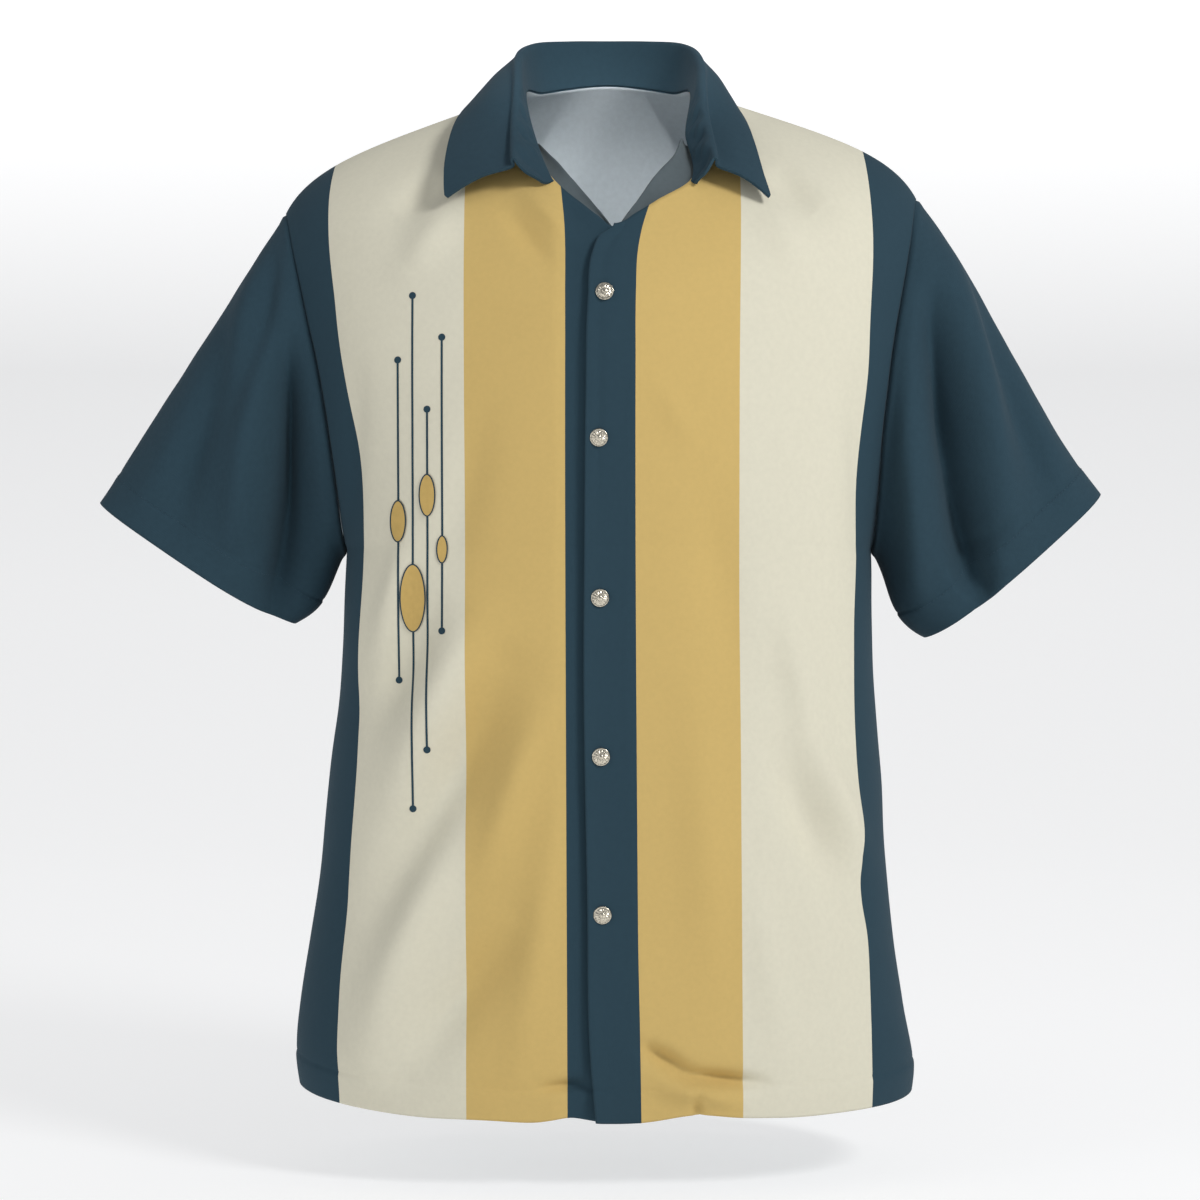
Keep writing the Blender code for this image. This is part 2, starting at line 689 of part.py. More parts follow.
def button(index, x, z):
    """A low domed button, square to the cloth it is sewn on."""
    angle, level = find_on_body([0, 2], np.array([x, z]), np.array(0.0),
                                np.array(1.0 if z > ARMPIT_Z else 0.5))
    centre, normal = body(angle, level), body_normal(angle, level)
    side = unit(np.cross(np.array([0.0, 0.0, 1.0]), normal))
    up = np.cross(normal, side)
    made = bmesh.new()
    turns = np.linspace(0.0, 2.0 * math.pi, BUTTON_SIDES, endpoint=False)
    rings = []
    for radius, height in BUTTON_PROFILE:
        middle = centre + normal * (height + SEAM_GAP)
        rings.append([made.verts.new(tuple((middle + radius * (
            side * math.cos(turn) + up * math.sin(turn))) * MM)) for turn in turns])
    for low, high in zip(rings, rings[1:]):
        for here in range(BUTTON_SIDES):
            there = (here + 1) % BUTTON_SIDES
            made.faces.new((low[here], low[there], high[there], high[here]))
    made.faces.new(rings[0])
    made.faces.new(rings[-1])
    return add_object(f"button_{index}", made, "button_metal")


def main():
    """Build every piece of the shirt."""
    for old in list(bpy.data.objects):
        bpy.data.objects.remove(old)
    back()
    front(1, "front_left")
    front(-1, "front_right")
    sleeve_tube(1, "sleeve_left")
    sleeve_tube(-1, "sleeve_right")
    collar()
    facing(1, "facing_left")
    facing(-1, "facing_right")
    for index, (x, z) in enumerate(BUTTONS, start=1):
        button(index, x, z)


main()
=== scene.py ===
"""Bowling shirt, filled out as worn: panels, sleeves, camp collar, stitching, buttons.

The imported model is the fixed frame.  Lengths in the tables are millimetres in the
shirt's own frame: the wearer's front faces -Y, the wearer's left is +X, up is +Z.
"""
from __future__ import annotations

import json
import logging
import math
from collections.abc import Callable
from dataclasses import dataclass, field
from enum import Enum
from functools import cached_property

import bmesh
import bpy
import numpy as np
from mathutils import Matrix, Vector
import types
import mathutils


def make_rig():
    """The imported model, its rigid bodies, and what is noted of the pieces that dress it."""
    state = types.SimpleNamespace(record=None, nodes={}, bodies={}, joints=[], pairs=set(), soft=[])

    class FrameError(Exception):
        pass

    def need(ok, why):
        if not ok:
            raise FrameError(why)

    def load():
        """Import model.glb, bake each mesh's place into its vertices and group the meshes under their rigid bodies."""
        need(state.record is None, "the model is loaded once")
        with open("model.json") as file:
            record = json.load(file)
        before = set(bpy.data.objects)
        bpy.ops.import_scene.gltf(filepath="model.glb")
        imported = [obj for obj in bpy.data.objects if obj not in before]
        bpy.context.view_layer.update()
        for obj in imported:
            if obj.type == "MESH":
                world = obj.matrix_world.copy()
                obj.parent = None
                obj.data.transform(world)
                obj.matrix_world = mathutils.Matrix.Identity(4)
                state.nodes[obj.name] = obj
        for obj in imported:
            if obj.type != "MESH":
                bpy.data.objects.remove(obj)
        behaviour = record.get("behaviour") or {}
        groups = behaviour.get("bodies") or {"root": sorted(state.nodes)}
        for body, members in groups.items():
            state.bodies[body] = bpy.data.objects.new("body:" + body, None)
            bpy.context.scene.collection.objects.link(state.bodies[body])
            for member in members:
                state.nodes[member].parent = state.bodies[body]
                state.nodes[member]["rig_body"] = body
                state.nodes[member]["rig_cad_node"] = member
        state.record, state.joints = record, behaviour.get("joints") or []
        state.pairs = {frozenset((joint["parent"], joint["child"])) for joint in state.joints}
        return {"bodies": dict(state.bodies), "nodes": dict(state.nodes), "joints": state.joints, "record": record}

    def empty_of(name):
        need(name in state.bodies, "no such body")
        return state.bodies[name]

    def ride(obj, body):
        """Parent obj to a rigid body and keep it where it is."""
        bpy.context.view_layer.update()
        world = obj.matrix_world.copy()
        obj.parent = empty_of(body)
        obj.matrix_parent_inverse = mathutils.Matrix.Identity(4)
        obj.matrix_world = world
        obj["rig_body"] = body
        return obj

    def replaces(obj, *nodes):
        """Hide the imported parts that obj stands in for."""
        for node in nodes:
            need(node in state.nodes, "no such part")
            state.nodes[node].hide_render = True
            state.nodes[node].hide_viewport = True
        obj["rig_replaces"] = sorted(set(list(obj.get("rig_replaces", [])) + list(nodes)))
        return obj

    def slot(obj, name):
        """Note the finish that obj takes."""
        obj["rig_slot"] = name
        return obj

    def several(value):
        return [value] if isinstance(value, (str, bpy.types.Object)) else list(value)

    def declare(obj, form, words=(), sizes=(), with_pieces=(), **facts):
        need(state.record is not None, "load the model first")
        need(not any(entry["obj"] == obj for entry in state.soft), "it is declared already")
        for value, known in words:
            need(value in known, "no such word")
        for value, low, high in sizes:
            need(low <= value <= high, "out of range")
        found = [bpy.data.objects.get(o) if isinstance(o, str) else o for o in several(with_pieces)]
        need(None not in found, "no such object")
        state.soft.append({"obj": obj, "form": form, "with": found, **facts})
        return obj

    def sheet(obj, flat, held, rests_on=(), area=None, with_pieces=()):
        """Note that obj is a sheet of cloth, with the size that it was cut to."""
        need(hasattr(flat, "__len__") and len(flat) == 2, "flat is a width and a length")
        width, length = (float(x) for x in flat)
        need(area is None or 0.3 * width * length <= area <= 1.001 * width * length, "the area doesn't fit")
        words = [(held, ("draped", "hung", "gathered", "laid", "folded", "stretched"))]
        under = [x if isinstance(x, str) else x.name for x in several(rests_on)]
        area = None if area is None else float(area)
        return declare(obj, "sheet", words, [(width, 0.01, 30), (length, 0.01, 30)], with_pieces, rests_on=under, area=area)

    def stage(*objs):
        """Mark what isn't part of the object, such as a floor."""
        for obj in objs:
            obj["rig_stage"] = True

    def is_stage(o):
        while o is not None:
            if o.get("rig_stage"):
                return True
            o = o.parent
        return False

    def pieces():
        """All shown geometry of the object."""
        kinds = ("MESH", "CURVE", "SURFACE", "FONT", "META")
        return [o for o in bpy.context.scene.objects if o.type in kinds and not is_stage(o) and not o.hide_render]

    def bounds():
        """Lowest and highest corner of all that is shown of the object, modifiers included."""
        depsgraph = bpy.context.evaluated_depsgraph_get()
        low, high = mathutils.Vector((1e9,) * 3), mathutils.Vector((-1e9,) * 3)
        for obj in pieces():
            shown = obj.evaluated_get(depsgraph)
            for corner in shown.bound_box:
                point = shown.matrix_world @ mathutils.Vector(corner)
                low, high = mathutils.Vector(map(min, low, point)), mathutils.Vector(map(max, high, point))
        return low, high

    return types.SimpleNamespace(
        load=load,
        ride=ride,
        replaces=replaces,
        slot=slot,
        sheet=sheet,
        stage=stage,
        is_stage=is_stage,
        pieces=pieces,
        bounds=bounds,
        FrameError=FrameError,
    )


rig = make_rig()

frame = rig.load()
CAD_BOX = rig.bounds()

MM = 0.001
CLOTH = 1.5
STITCH_SET = 1.6
STITCH_HALF = (1.05, 0.26, 0.20)
LOG = logging.getLogger("shirt")

Array = np.ndarray
Table = tuple[tuple[float, ...], ...]
Colour = tuple[float, float, float]
Place = tuple[float, float, float]
Surface = Callable[[Array, Array], Array]


# ==== small helpers ================================================================

def smooth_between(part: Array, start: Array, end: Array, start_slope: Array,
                   end_slope: Array) -> Array:
    """Go smoothly from one value to another with given slopes at the ends.

    Args:
        part: How far along, from 0 to 1.
        start: The value at 0.
        end: The value at 1.
        start_slope: The slope at 0.
        end_slope: The slope at 1.

    Returns:
        The values in between.
    """
    square, cube = part ** 2, part ** 3
    return ((2 * cube - 3 * square + 1) * start
            + (cube - 2 * square + part) * start_slope
            + (3 * square - 2 * cube) * end + (cube - square) * end_slope)


def curve(keys: Array, values: Array, at: Array) -> Array:
    """Read a smooth curve.

    Args:
        keys: Rising places.
        values: The curve's value at each place.
        at: Where to read it.

    Returns:
        The values there.
    """
    keys, values = np.asarray(keys, float), np.asarray(values, float)
    slopes = np.gradient(values, keys)
    cell = np.clip(np.searchsorted(keys, at) - 1, 0, len(keys) - 2)
    width = keys[cell + 1] - keys[cell]
    part = np.clip((at - keys[cell]) / width, 0.0, 1.0)
    return smooth_between(part, values[cell], values[cell + 1], width * slopes[cell],
                          width * slopes[cell + 1])


def column(table: Table, index: int) -> Array:
    """Return one column of a table."""
    return np.array([row[index] for row in table], float)


def unit(vector: Array) -> Array:
    """Return vectors of length one."""
    return vector / np.maximum(np.linalg.norm(vector, axis=-1, keepdims=True), 1e-12)


def points_of(x: Array, y: Array, z: Array) -> Array:
    """Stack three arrays as points."""
    return np.stack(np.broadcast_arrays(x, y, z), axis=-1)


def soft_step(low: float, high: float, value: Array) -> Array:
    """Go softly from 0 at low to 1 at high, which may be the smaller number."""
    part = np.clip((value - low) / (high - low), 0.0, 1.0)
    return part * part * (3.0 - 2.0 * part)


def ridge(at: Array, middle: float, width: float, height: float = 1.0) -> Array:
    """Return a soft ridge across a place: its height in the middle, fading to 0."""
    return height * np.exp(-((at - middle) / width) ** 2)


def both_sides(table: Table) -> Array:
    """Turn rows of (angle, half, shift, y, z) into rows right round the neck.

    Args:
        table: The rows from the front round to the back.

    Returns:
        Rows of angle, x, y and z in the order of the angle.
    """
    rows = {}
    for angle, half, shift, y, z in table:
        for side in (-1, 1):
            rows[round(side * angle, 6)] = (side * angle, shift + side * half, y, z)
            far = side * (360.0 - angle)
            rows[round(far, 6)] = (far, shift - side * half, y, z)
    return np.array([rows[key] for key in sorted(rows)])


def fold_push(points: Array, table: Table, reach: float = 40.0) -> Array:
    """Work out how far soft folds push the cloth out.

    Args:
        points: Places on the cloth.
        table: Rows of side (-1 front, 1 back), two ends as x and z, width, height.
        reach: Depth over which a fold fades towards the other side.

    Returns:
        A push for each place.
    """
    push = np.zeros(points.shape[:-1])
    for side, x0, z0, x1, z1, width, height in table:
        along = np.array([x1 - x0, z1 - z0])
        length = float(np.linalg.norm(along))
        along = along / length
        dx, dz = points[..., 0] - x0, points[..., 2] - z0
        part = (dx * along[0] + dz * along[1]) / length
        held = np.clip(part, 0.0, 1.0)
        away = np.hypot(dx - held * length * along[0], dz - held * length * along[1])
        facing = soft_step(5.0, 5.0 + reach, points[..., 1] * side)
        taper = 0.3 + 0.7 * np.sin(math.pi * held)
        push += ridge(away, 0.0, width, height) * facing * taper
    return push


def unevenness(points: Array, table: Table) -> Array:
    """Return the cloth's gentle unevenness.

    Args:
        points: Places on the cloth.
        table: Rows of size, seed and height.

    Returns:
        A push for each place.
    """
    push = np.zeros(points.shape[:-1])
    for size, seed, height in table:
        x, y, z = (points[..., i] / size for i in range(3))
        wave = np.sin(1.3 * x + 0.7 * z + seed) * np.cos(1.1 * z - 0.5 * x + 2.0 * seed)
        cross = (np.sin(2.3 * z + 1.7 * y + 3.0 * seed)
                 * np.cos(1.9 * x - 1.1 * y + seed))
        push = push + height * (wave + 0.6 * cross) / 1.6
    return push


def turned_edge(above: Array, turn: float, step: float) -> Array:
    """Raise the cloth where its edge is turned up, with a groove along the stitches.

    Args:
        above: Height above the edge.
        turn: Height of the turning.
        step: How far the turning stands out.

    Returns:
        A push for each place.
    """
    return (step * soft_step(turn + 0.8, turn - 0.8, above)
            - ridge(above, turn, 1.6, 0.5))


# ==== the form of the body ============================================================

class Side(Enum):
    """The wearer's sides."""

    RIGHT = -1
    LEFT = 1

    @property
    def word(self) -> str:
        """The side's word in the pieces' names."""
        return self.name.lower()


@dataclass
class BodyForm:
    """The surface that every panel lies on, by angle (0 front) and level (0 to 2)."""

    rings: Table = (
        # z, half width right and left, half depth front and back
        (-738.0, 222.0, 221.0, 125.0, 128.0),
        (-712.0, 226.5, 224.0, 129.0, 131.0),
        (-665.0, 224.0, 217.0, 130.0, 132.0),
        (-620.0, 217.0, 210.0, 129.5, 131.0),
        (-560.0, 208.0, 203.0, 128.5, 130.0),
        (-500.0, 202.5, 200.0, 127.0, 129.0),
        (-430.0, 194.5, 195.0, 126.0, 128.0),
        (-336.0, 189.5, 192.0, 125.0, 127.0),
    )
    neck: Table = (
        # angle, half, shift, y, z
        (0.0, 0.0, 5.4, -111.0, -111.0),
        (12.0, 14.0, 6.5, -105.5, -102.0),
        (24.0, 29.0, 8.5, -98.0, -91.0),
        (40.0, 48.5, 10.7, -85.0, -76.0),
        (66.0, 55.0, 2.0, -45.0, -38.0),
        (90.0, 61.0, 1.0, 0.0, -3.0),
        (128.0, 49.0, 0.5, 50.0, 8.0),
        (180.0, 0.0, 0.5, 75.0, 17.5),
    )
    hem_rise: tuple[float, float] = (14.0, 9.0)
    hem_waves: Table = (
        # angle, width, height
        (-7.0, 4.5, 4.0), (-22.0, 9.0, 2.0), (16.0, 7.0, 5.5), (27.0, 6.0, 1.2),
        (-150.0, 12.0, 3.0), (165.0, 14.0, -1.0), (140.0, 9.0, 2.4),
    )
    shoulder_half: tuple[float, float] = (276.0, 265.0)
    shoulder_z: tuple[float, float] = (-70.0, -58.0)
    front_pull: tuple[float, float] = (-137.0, -165.0)
    back_pull: tuple[float, float] = (134.0, -42.0)
    ring_power: float = 2.4
    pull_power: float = 1.62
    hem_turn: float = 22.0
    hem_step: float = 0.7
    pucker: float = 0.16
    ripples: Table = ((58.0, 1.0, 1.5), (21.0, 4.0, 0.3))
    fold_gain: float = 2.6
    folds: Table = (
        # side, first end x and z, second end x and z, width, height
        (-1, -92.0, -388.0, -150.0, -505.0, 17.0, 4.5),
        (-1, -110.0, -535.0, -172.0, -690.0, 17.0, 5.0),
        (-1, -126.0, -385.0, -160.0, -455.0, 13.0, -3.5),
        (-1, -72.0, -425.0, -158.0, -590.0, 20.0, -5.5),
        (-1, -48.0, -452.0, -86.0, -560.0, 13.0, 2.8),
        (-1, -66.0, -600.0, -140.0, -700.0, 18.0, -4.2),
        (-1, -34.0, -520.0, -62.0, -700.0, 14.0, 2.2),
        (-1, -142.0, -330.0, -166.0, -430.0, 9.0, 2.2),
        (-1, -88.0, -250.0, -112.0, -350.0, 15.0, -1.6),
        (-1, 126.0, -390.0, 142.0, -470.0, 11.0, 3.0),
        (-1, 142.0, -470.0, 180.0, -556.0, 12.0, 3.6),
        (-1, 120.0, -480.0, 168.0, -590.0, 15.0, -3.4),
        (-1, 70.0, -300.0, 92.0, -430.0, 16.0, -1.6),
        (-1, 60.0, -430.0, 74.0, -640.0, 17.0, 1.8),
        (-1, 100.0, -560.0, 122.0, -690.0, 14.0, 1.6),
        (-1, 24.0, -682.0, 56.0, -701.0, 5.5, -3.6),
        (-1, 50.0, -702.0, 108.0, -709.0, 5.0, -3.6),
        (-1, 34.0, -708.0, 92.0, -720.0, 8.0, 2.8),
        (-1, 62.0, -712.0, 64.0, -733.0, 3.5, -1.6),
        (-1, -46.0, -711.0, -14.0, -710.0, 4.5, -2.2),
        (-1, -60.0, -84.0, -22.0, -122.0, 8.0, 2.2),
        (-1, -74.0, -98.0, -40.0, -138.0, 8.0, -1.6),
        (-1, -116.0, -70.0, -150.0, -100.0, 12.0, -2.6),
        (-1, -108.0, -96.0, -140.0, -140.0, 13.0, 2.0),
        (-1, 116.0, -64.0, 150.0, -96.0, 12.0, -2.6),
        (-1, 110.0, -98.0, 140.0, -142.0, 13.0, 1.8),
        (-1, 34.0, -225.0, 60.0, -262.0, 9.0, 0.8),
        (-1, -178.0, -215.0, -184.0, -330.0, 9.0, -1.6),
        (-1, 176.0, -215.0, 182.0, -330.0, 9.0, -1.4),
        (1, -60.0, -330.0, -140.0, -560.0, 28.0, 6.0),
        (1, 70.0, -360.0, 150.0, -600.0, 26.0, 6.0),
        (1, -20.0, -480.0, 30.0, -700.0, 30.0, -5.0),
        (1, -110.0, -300.0, -165.0, -420.0, 18.0, -4.0),
        (1, 105.0, -290.0, 165.0, -430.0, 18.0, -4.0),
        (1, -150.0, -560.0, -185.0, -700.0, 18.0, 4.0),
        (1, 140.0, -600.0, 120.0, -715.0, 17.0, -3.5),
        (1, -95.0, -120.0, 95.0, -135.0, 24.0, 2.0),
    )

    def __post_init__(self) -> None:
        """Work out the neck ring and the end heights."""
        self.neck_ring = both_sides(self.neck)
        self.hem_z, self.armpit_z = self.rings[0][0], self.rings[-1][0]

    def pick(self, angle: Array, pair: tuple[float, float]) -> Array:
        """Pick the right or left value by the sign of an angle."""
        return np.where(angle < 0.0, pair[0], pair[1])

    def superellipse(self, angle: Array, width: Array, depth: Array,
                     power: float) -> tuple[Array, Array]:
        """Return x and y of a rounded rectangle in plan.

        Args:
            angle: Angles round it.
            width: Half its width.
            depth: Half its depth.
            power: How square it is.

        Returns:
            The x and the y of each angle.
        """
        turn = np.radians(angle)
        sine, cosine = np.sin(turn), np.cos(turn)
        reach = (np.abs(sine) ** power + np.abs(cosine) ** power) ** (-1.0 / power)
        return width * sine * reach, -depth * cosine * reach

    def depth(self, angle: Array, front: Array, back: Array) -> Array:
        """Blend front and back depths across the side seams."""
        weight = soft_step(-0.35, 0.35, np.cos(np.radians(angle)))
        return back + (front - back) * weight

    def ring(self, angle: Array, z: Array) -> Array:
        """Return points of the body below the arms.

        Args:
            angle: Angles round the body.
            z: Their heights.

        Returns:
            The points.
        """
        keys = column(self.rings, 0)
        right, left, front, back = (
            curve(keys, column(self.rings, i), z) for i in (1, 2, 3, 4))
        x, y = self.superellipse(angle, np.where(angle < 0.0, right, left),
                                 self.depth(angle, front, back), self.ring_power)
        return points_of(x, y, z)

    def hem(self, angle: Array) -> Array:
        """Return the height of the hem's edge.

        Args:
            angle: Angles round the body.

        Returns:
            The heights.
        """
        sine = np.sin(np.radians(angle))
        wave = 1.2 * np.sin(np.radians(angle * 3.0 + 40.0)) * (1.0 - sine ** 6)
        for middle, width, height in self.hem_waves:
            away = np.mod(angle - middle + 180.0, 360.0) - 180.0
            wave = wave + ridge(away, 0.0, width, height)
        return self.hem_z + self.pick(angle, self.hem_rise) * sine ** 2 + wave

    def level_above_hem(self, angle: Array, rise: float) -> Array:
        """Return the level that lies a given height above the hem."""
        return rise / (self.armpit_z - self.hem(angle))

    def pull(self, angle: Array) -> Array:
        """Return the corner that an upright line of the upper body bends round.

        Args:
            angle: Angles round the body.

        Returns:
            The points.
        """
        sine, cosine = np.sin(np.radians(angle)), np.cos(np.radians(angle))
        depth = self.depth(angle, -self.front_pull[0], self.back_pull[0])
        x, y = self.superellipse(angle, self.pick(angle, self.shoulder_half), depth,
                                 self.pull_power)
        middle = np.where(cosine > 0.0, self.front_pull[1], self.back_pull[1])
        side = self.pick(angle, self.shoulder_z)
        return points_of(x, y, middle + (side - middle) * sine ** 2)

    def neck_line(self, angle: Array) -> Array:
        """Return points of the neck seam."""
        return points_of(*(curve(self.neck_ring[:, 0], self.neck_ring[:, i], angle)
                           for i in (1, 2, 3)))

    def plain(self, angle: Array, level: Array) -> Array:
        """Return the body without its folds.

        Args:
            angle: Angles round the body.
            level: Levels up the body.

        Returns:
            Its points.
        """
        angle, level = np.broadcast_arrays(np.asarray(angle, float),
                                           np.asarray(level, float))
        hem = self.hem(angle)
        low = self.ring(angle, hem + (self.armpit_z - hem) * np.clip(level, 0.0, 1.0))
        rise = np.clip(level - 1.0, 0.0, 1.0)[..., None]
        high = ((1 - rise) ** 3 * self.ring(angle, np.full_like(level, self.armpit_z))
                + 3 * rise * (1 - rise) * self.pull(angle)
                + rise ** 3 * self.neck_line(angle))
        return np.where(level[..., None] <= 1.0, low, high)

    def normal(self, surface: Surface, angle: Array, level: Array) -> Array:
        """Return outward normals of a surface of angle and level.

        Args:
            surface: The surface.
            angle: Angles round the body.
            level: Levels up the body.

        Returns:
            The normals.
        """
        level = np.asarray(level, float)
        low, high = np.maximum(level - 0.004, 0.0), np.minimum(level + 0.004, 2.0)
        across = surface(angle + 0.2, level) - surface(angle - 0.2, level)
        return unit(np.cross(across, surface(angle, high) - surface(angle, low)))

    def cloth(self, angle: Array, level: Array) -> Array:
        """Return the outer surface of the cloth with its folds and turned hem.

        Args:
            angle: Angles round the body.
            level: Levels up the body.

        Returns:
            Its points.
        """
        flat = self.plain(angle, level)
        push = self.fold_gain * fold_push(flat, self.folds)
        free = soft_step(0.0, 60.0, flat[..., 2] * -1.0 - 120.0)
        push = push + free * unevenness(flat, self.ripples)
        above = np.asarray(level, float) * (self.armpit_z - self.hem(angle))
        push = push + turned_edge(above, self.hem_turn, self.hem_step)
        pucker = np.sin(flat[..., 0] / 2.9) * np.cos(flat[..., 0] / 7.7 + 1.0)
        push = push + pucker * ridge(above, self.hem_turn, 7.0, self.pucker)
        return flat + self.normal(self.plain, angle, level) * push[..., None]

    def find(self, axes: list[int], target: Array, angle: Array,
             level: Array) -> tuple[Array, Array]:
        """Find places on the body.

        Args:
            axes: The two axes whose values are given.
            target: The two values of each place.
            angle: First guess of the angle.
            level: First guess of the level.

        Returns:
            The angle and the level of each place.
        """
        for _ in range(9):
            here = self.plain(angle, level)[..., axes]
            by_angle = (self.plain(angle + 0.05, level)[..., axes] - here) / 0.05
            by_level = (self.plain(angle, level + 5e-4)[..., axes] - here) / 5e-4
            miss = target - here
            det = by_angle[..., 0] * by_level[..., 1] - by_angle[..., 1] * by_level[..., 0]
            turn = (miss[..., 0] * by_level[..., 1] - miss[..., 1] * by_level[..., 0]) / det
            rise = (by_angle[..., 0] * miss[..., 1] - by_angle[..., 1] * miss[..., 0]) / det
            angle = angle + np.clip(turn, -8.0, 8.0)
            level = np.clip(level + np.clip(rise, -0.1, 0.1), 0.0, 2.0)
        return angle, level

    def angle_at_x(self, x: Array, level: Array) -> Array:
        """Return the front's angle that has a given x at each level.

        Args:
            x: The x at each level.
            level: Levels up the body.

        Returns:
            The angles.
        """
        low, high = np.full_like(level, -60.0), np.full_like(level, 60.0)
        for _ in range(26):
            middle = 0.5 * (low + high)
            over = self.plain(middle, level)[..., 0] > x
            high, low = np.where(over, middle, high), np.where(over, low, middle)
        return 0.5 * (low + high)


@dataclass
class Armhole:
    """The seam between the body and one sleeve: an ellipse seen from the side."""

    body: BodyForm
    side: Side
    half_depth: float = 53.0

    @property
    def top(self) -> float:
        """Height of the shoulder point."""
        return -79.0 if self.side is Side.LEFT else -90.0

    def place(self, turn: Array) -> tuple[Array, Array]:
        """Return angle and level at a turn: 0 shoulder, 90 front, 180 armpit.

        Args:
            turn: Turns round the armhole.

        Returns:
            The body's angles and levels.
        """
        low = self.body.armpit_z
        radians = np.radians(turn)
        y = -self.half_depth * np.sin(radians)
        z = 0.5 * (self.top + low) + 0.5 * (self.top - low) * np.cos(radians)
        return self.body.find([1, 2], np.stack([y, z], axis=-1),
                              self.side.value * (90.0 + 0.45 * y),
                              1.0 + 0.5 * (z - low) / (self.top - low))


# ==== finishes ==========================================================================

def add_node(tree: bpy.types.NodeTree, kind: str, feeds: dict | None = None,
             values: dict | None = None, **options: object) -> bpy.types.Node:
    """Add a node to a material.

    Args:
        tree: The material's nodes and links.
        kind: The node's kind.
        feeds: The socket that feeds each input.
        values: The fixed value of each input.
        options: The node's own options.

    Returns:
        The new node.
    """
    made = tree.nodes.new("ShaderNode" + kind)
    for key, option in options.items():
        setattr(made, key, option)
    for key, value in (values or {}).items():
        made.inputs[key].default_value = value
    for key, socket in (feeds or {}).items():
        tree.links.new(socket, made.inputs[key])
    return made


def mottled(tree: bpy.types.NodeTree, colour: Colour, depth: float,
            scale: float = 260.0) -> bpy.types.NodeSocket:
    """Vary a colour a little, as dyed thread does.

    Args:
        tree: The material's nodes and links.
        colour: The middle colour.
        depth: How far it goes lighter and darker.
        scale: How fine the variation is.

    Returns:
        The colour's socket.
    """
    place = add_node(tree, "TexCoord")
    noise = add_node(tree, "TexNoise", {"Vector": place.outputs["Object"]},
                     {"Scale": scale, "Detail": 3.0})
    ramp = add_node(tree, "ValToRGB", {0: noise.outputs[0]})
    for stop, factor, position in zip(ramp.color_ramp.elements,
                                      (1.0 - depth, 1.0 + depth), (0.3, 0.7)):
        stop.color = (*(min(1.0, part * factor) for part in colour), 1.0)
        stop.position = position
    return ramp.outputs[0]


def weave_bump(tree: bpy.types.NodeTree, thread: float) -> bpy.types.NodeSocket:
    """Raise crossing threads, read from the piece's own UV map.

    Args:
        tree: The material's nodes and links.
        thread: Distance from thread to thread, in metres.

    Returns:
        The bump's socket.
    """
    place = add_node(tree, "UVMap", uv_map="cloth")
    across, along = (
        add_node(tree, "TexWave", {"Vector": place.outputs[0]},
                 {"Scale": 0.314 / thread, "Distortion": 0.6},
                 wave_type="BANDS", bands_direction=direction).outputs["Fac"]
        for direction in ("X", "Y"))
    both = add_node(tree, "Math", {0: across, 1: along}, operation="ADD")
    bump = add_node(tree, "Bump", {"Height": both.outputs[0]},
                    {"Strength": 0.22, "Distance": 0.00012})
    return bump.outputs[0]


@dataclass(frozen=True)
class Finish:
    """A finish whose material is built on first use."""

    name: str

    def make(self) -> bpy.types.Material:
        """Find the finish's material, or build it.

        Returns:
            The material.
        """
        material = bpy.data.materials.get(self.name)
        if material is None:
            material = bpy.data.materials.new(self.name)
            material.use_nodes = True
            self.paint(material.node_tree, material.node_tree.nodes["Principled BSDF"])
        return material

    def paint(self, tree: bpy.types.NodeTree, shader: bpy.types.Node) -> None:
        """Set up the shader, which each finish does in its own way."""
        raise NotImplementedError


@dataclass(frozen=True)
class Weave(Finish):
    """A plain woven cloth of one colour."""

    colour: Colour
    roughness: float = 0.93
    sheen: float = 0.04
    sheen_roughness: float = 0.5
    shine: float = 0.10
    thread: float = 0.00055
    mottle: float = 0.035

    def tint(self, tree: bpy.types.NodeTree) -> bpy.types.NodeSocket:
        """Return the socket of the cloth's colour."""
        return mottled(tree, self.colour, self.mottle)

    def paint(self, tree: bpy.types.NodeTree, shader: bpy.types.Node) -> None:
        """Set up a dull surface of crossing threads.

        Args:
            tree: The material's nodes and links.
            shader: Its shader.
        """
        for key, value in (("Roughness", self.roughness), ("Sheen Weight", self.sheen),
                           ("Sheen Roughness", self.sheen_roughness),
                           ("Specular IOR Level", self.shine)):
            shader.inputs[key].default_value = value
        tree.links.new(self.tint(tree), shader.inputs["Base Color"])
        tree.links.new(weave_bump(tree, self.thread), shader.inputs["Normal"])


@dataclass(frozen=True)
class StripedCloth(Weave):
    """Cloth in upright bands whose borders come from the piece's attributes."""

    gold: Colour = (0.600, 0.428, 0.155)
    cream: Colour = (0.690, 0.660, 0.530)
    sheen: float = 0.03
    mottle: float = 0.018

    def tint(self, tree: bpy.types.NodeTree) -> bpy.types.NodeSocket:
        """Change the colour past each border.

        Args:
            tree: The material's nodes and links.

        Returns:
            The socket of the cloth's colour.
        """
        colour = super().tint(tree)
        for border, tint in (("past_band", self.gold), ("past_gold", self.cream),
                             ("past_cream", self.colour)):
            place = add_node(tree, "Attribute", attribute_name=border)
            over = add_node(tree, "Math", {0: place.outputs["Fac"]}, {1: 0.0},
                            operation="GREATER_THAN")
            mix = add_node(tree, "Mix", data_type="RGBA")
            for index, socket in ((0, over.outputs[0]), (6, colour),
                                  (7, mottled(tree, tint, self.mottle))):
                tree.links.new(socket, mix.inputs[index])
            colour = mix.outputs[2]
        return colour


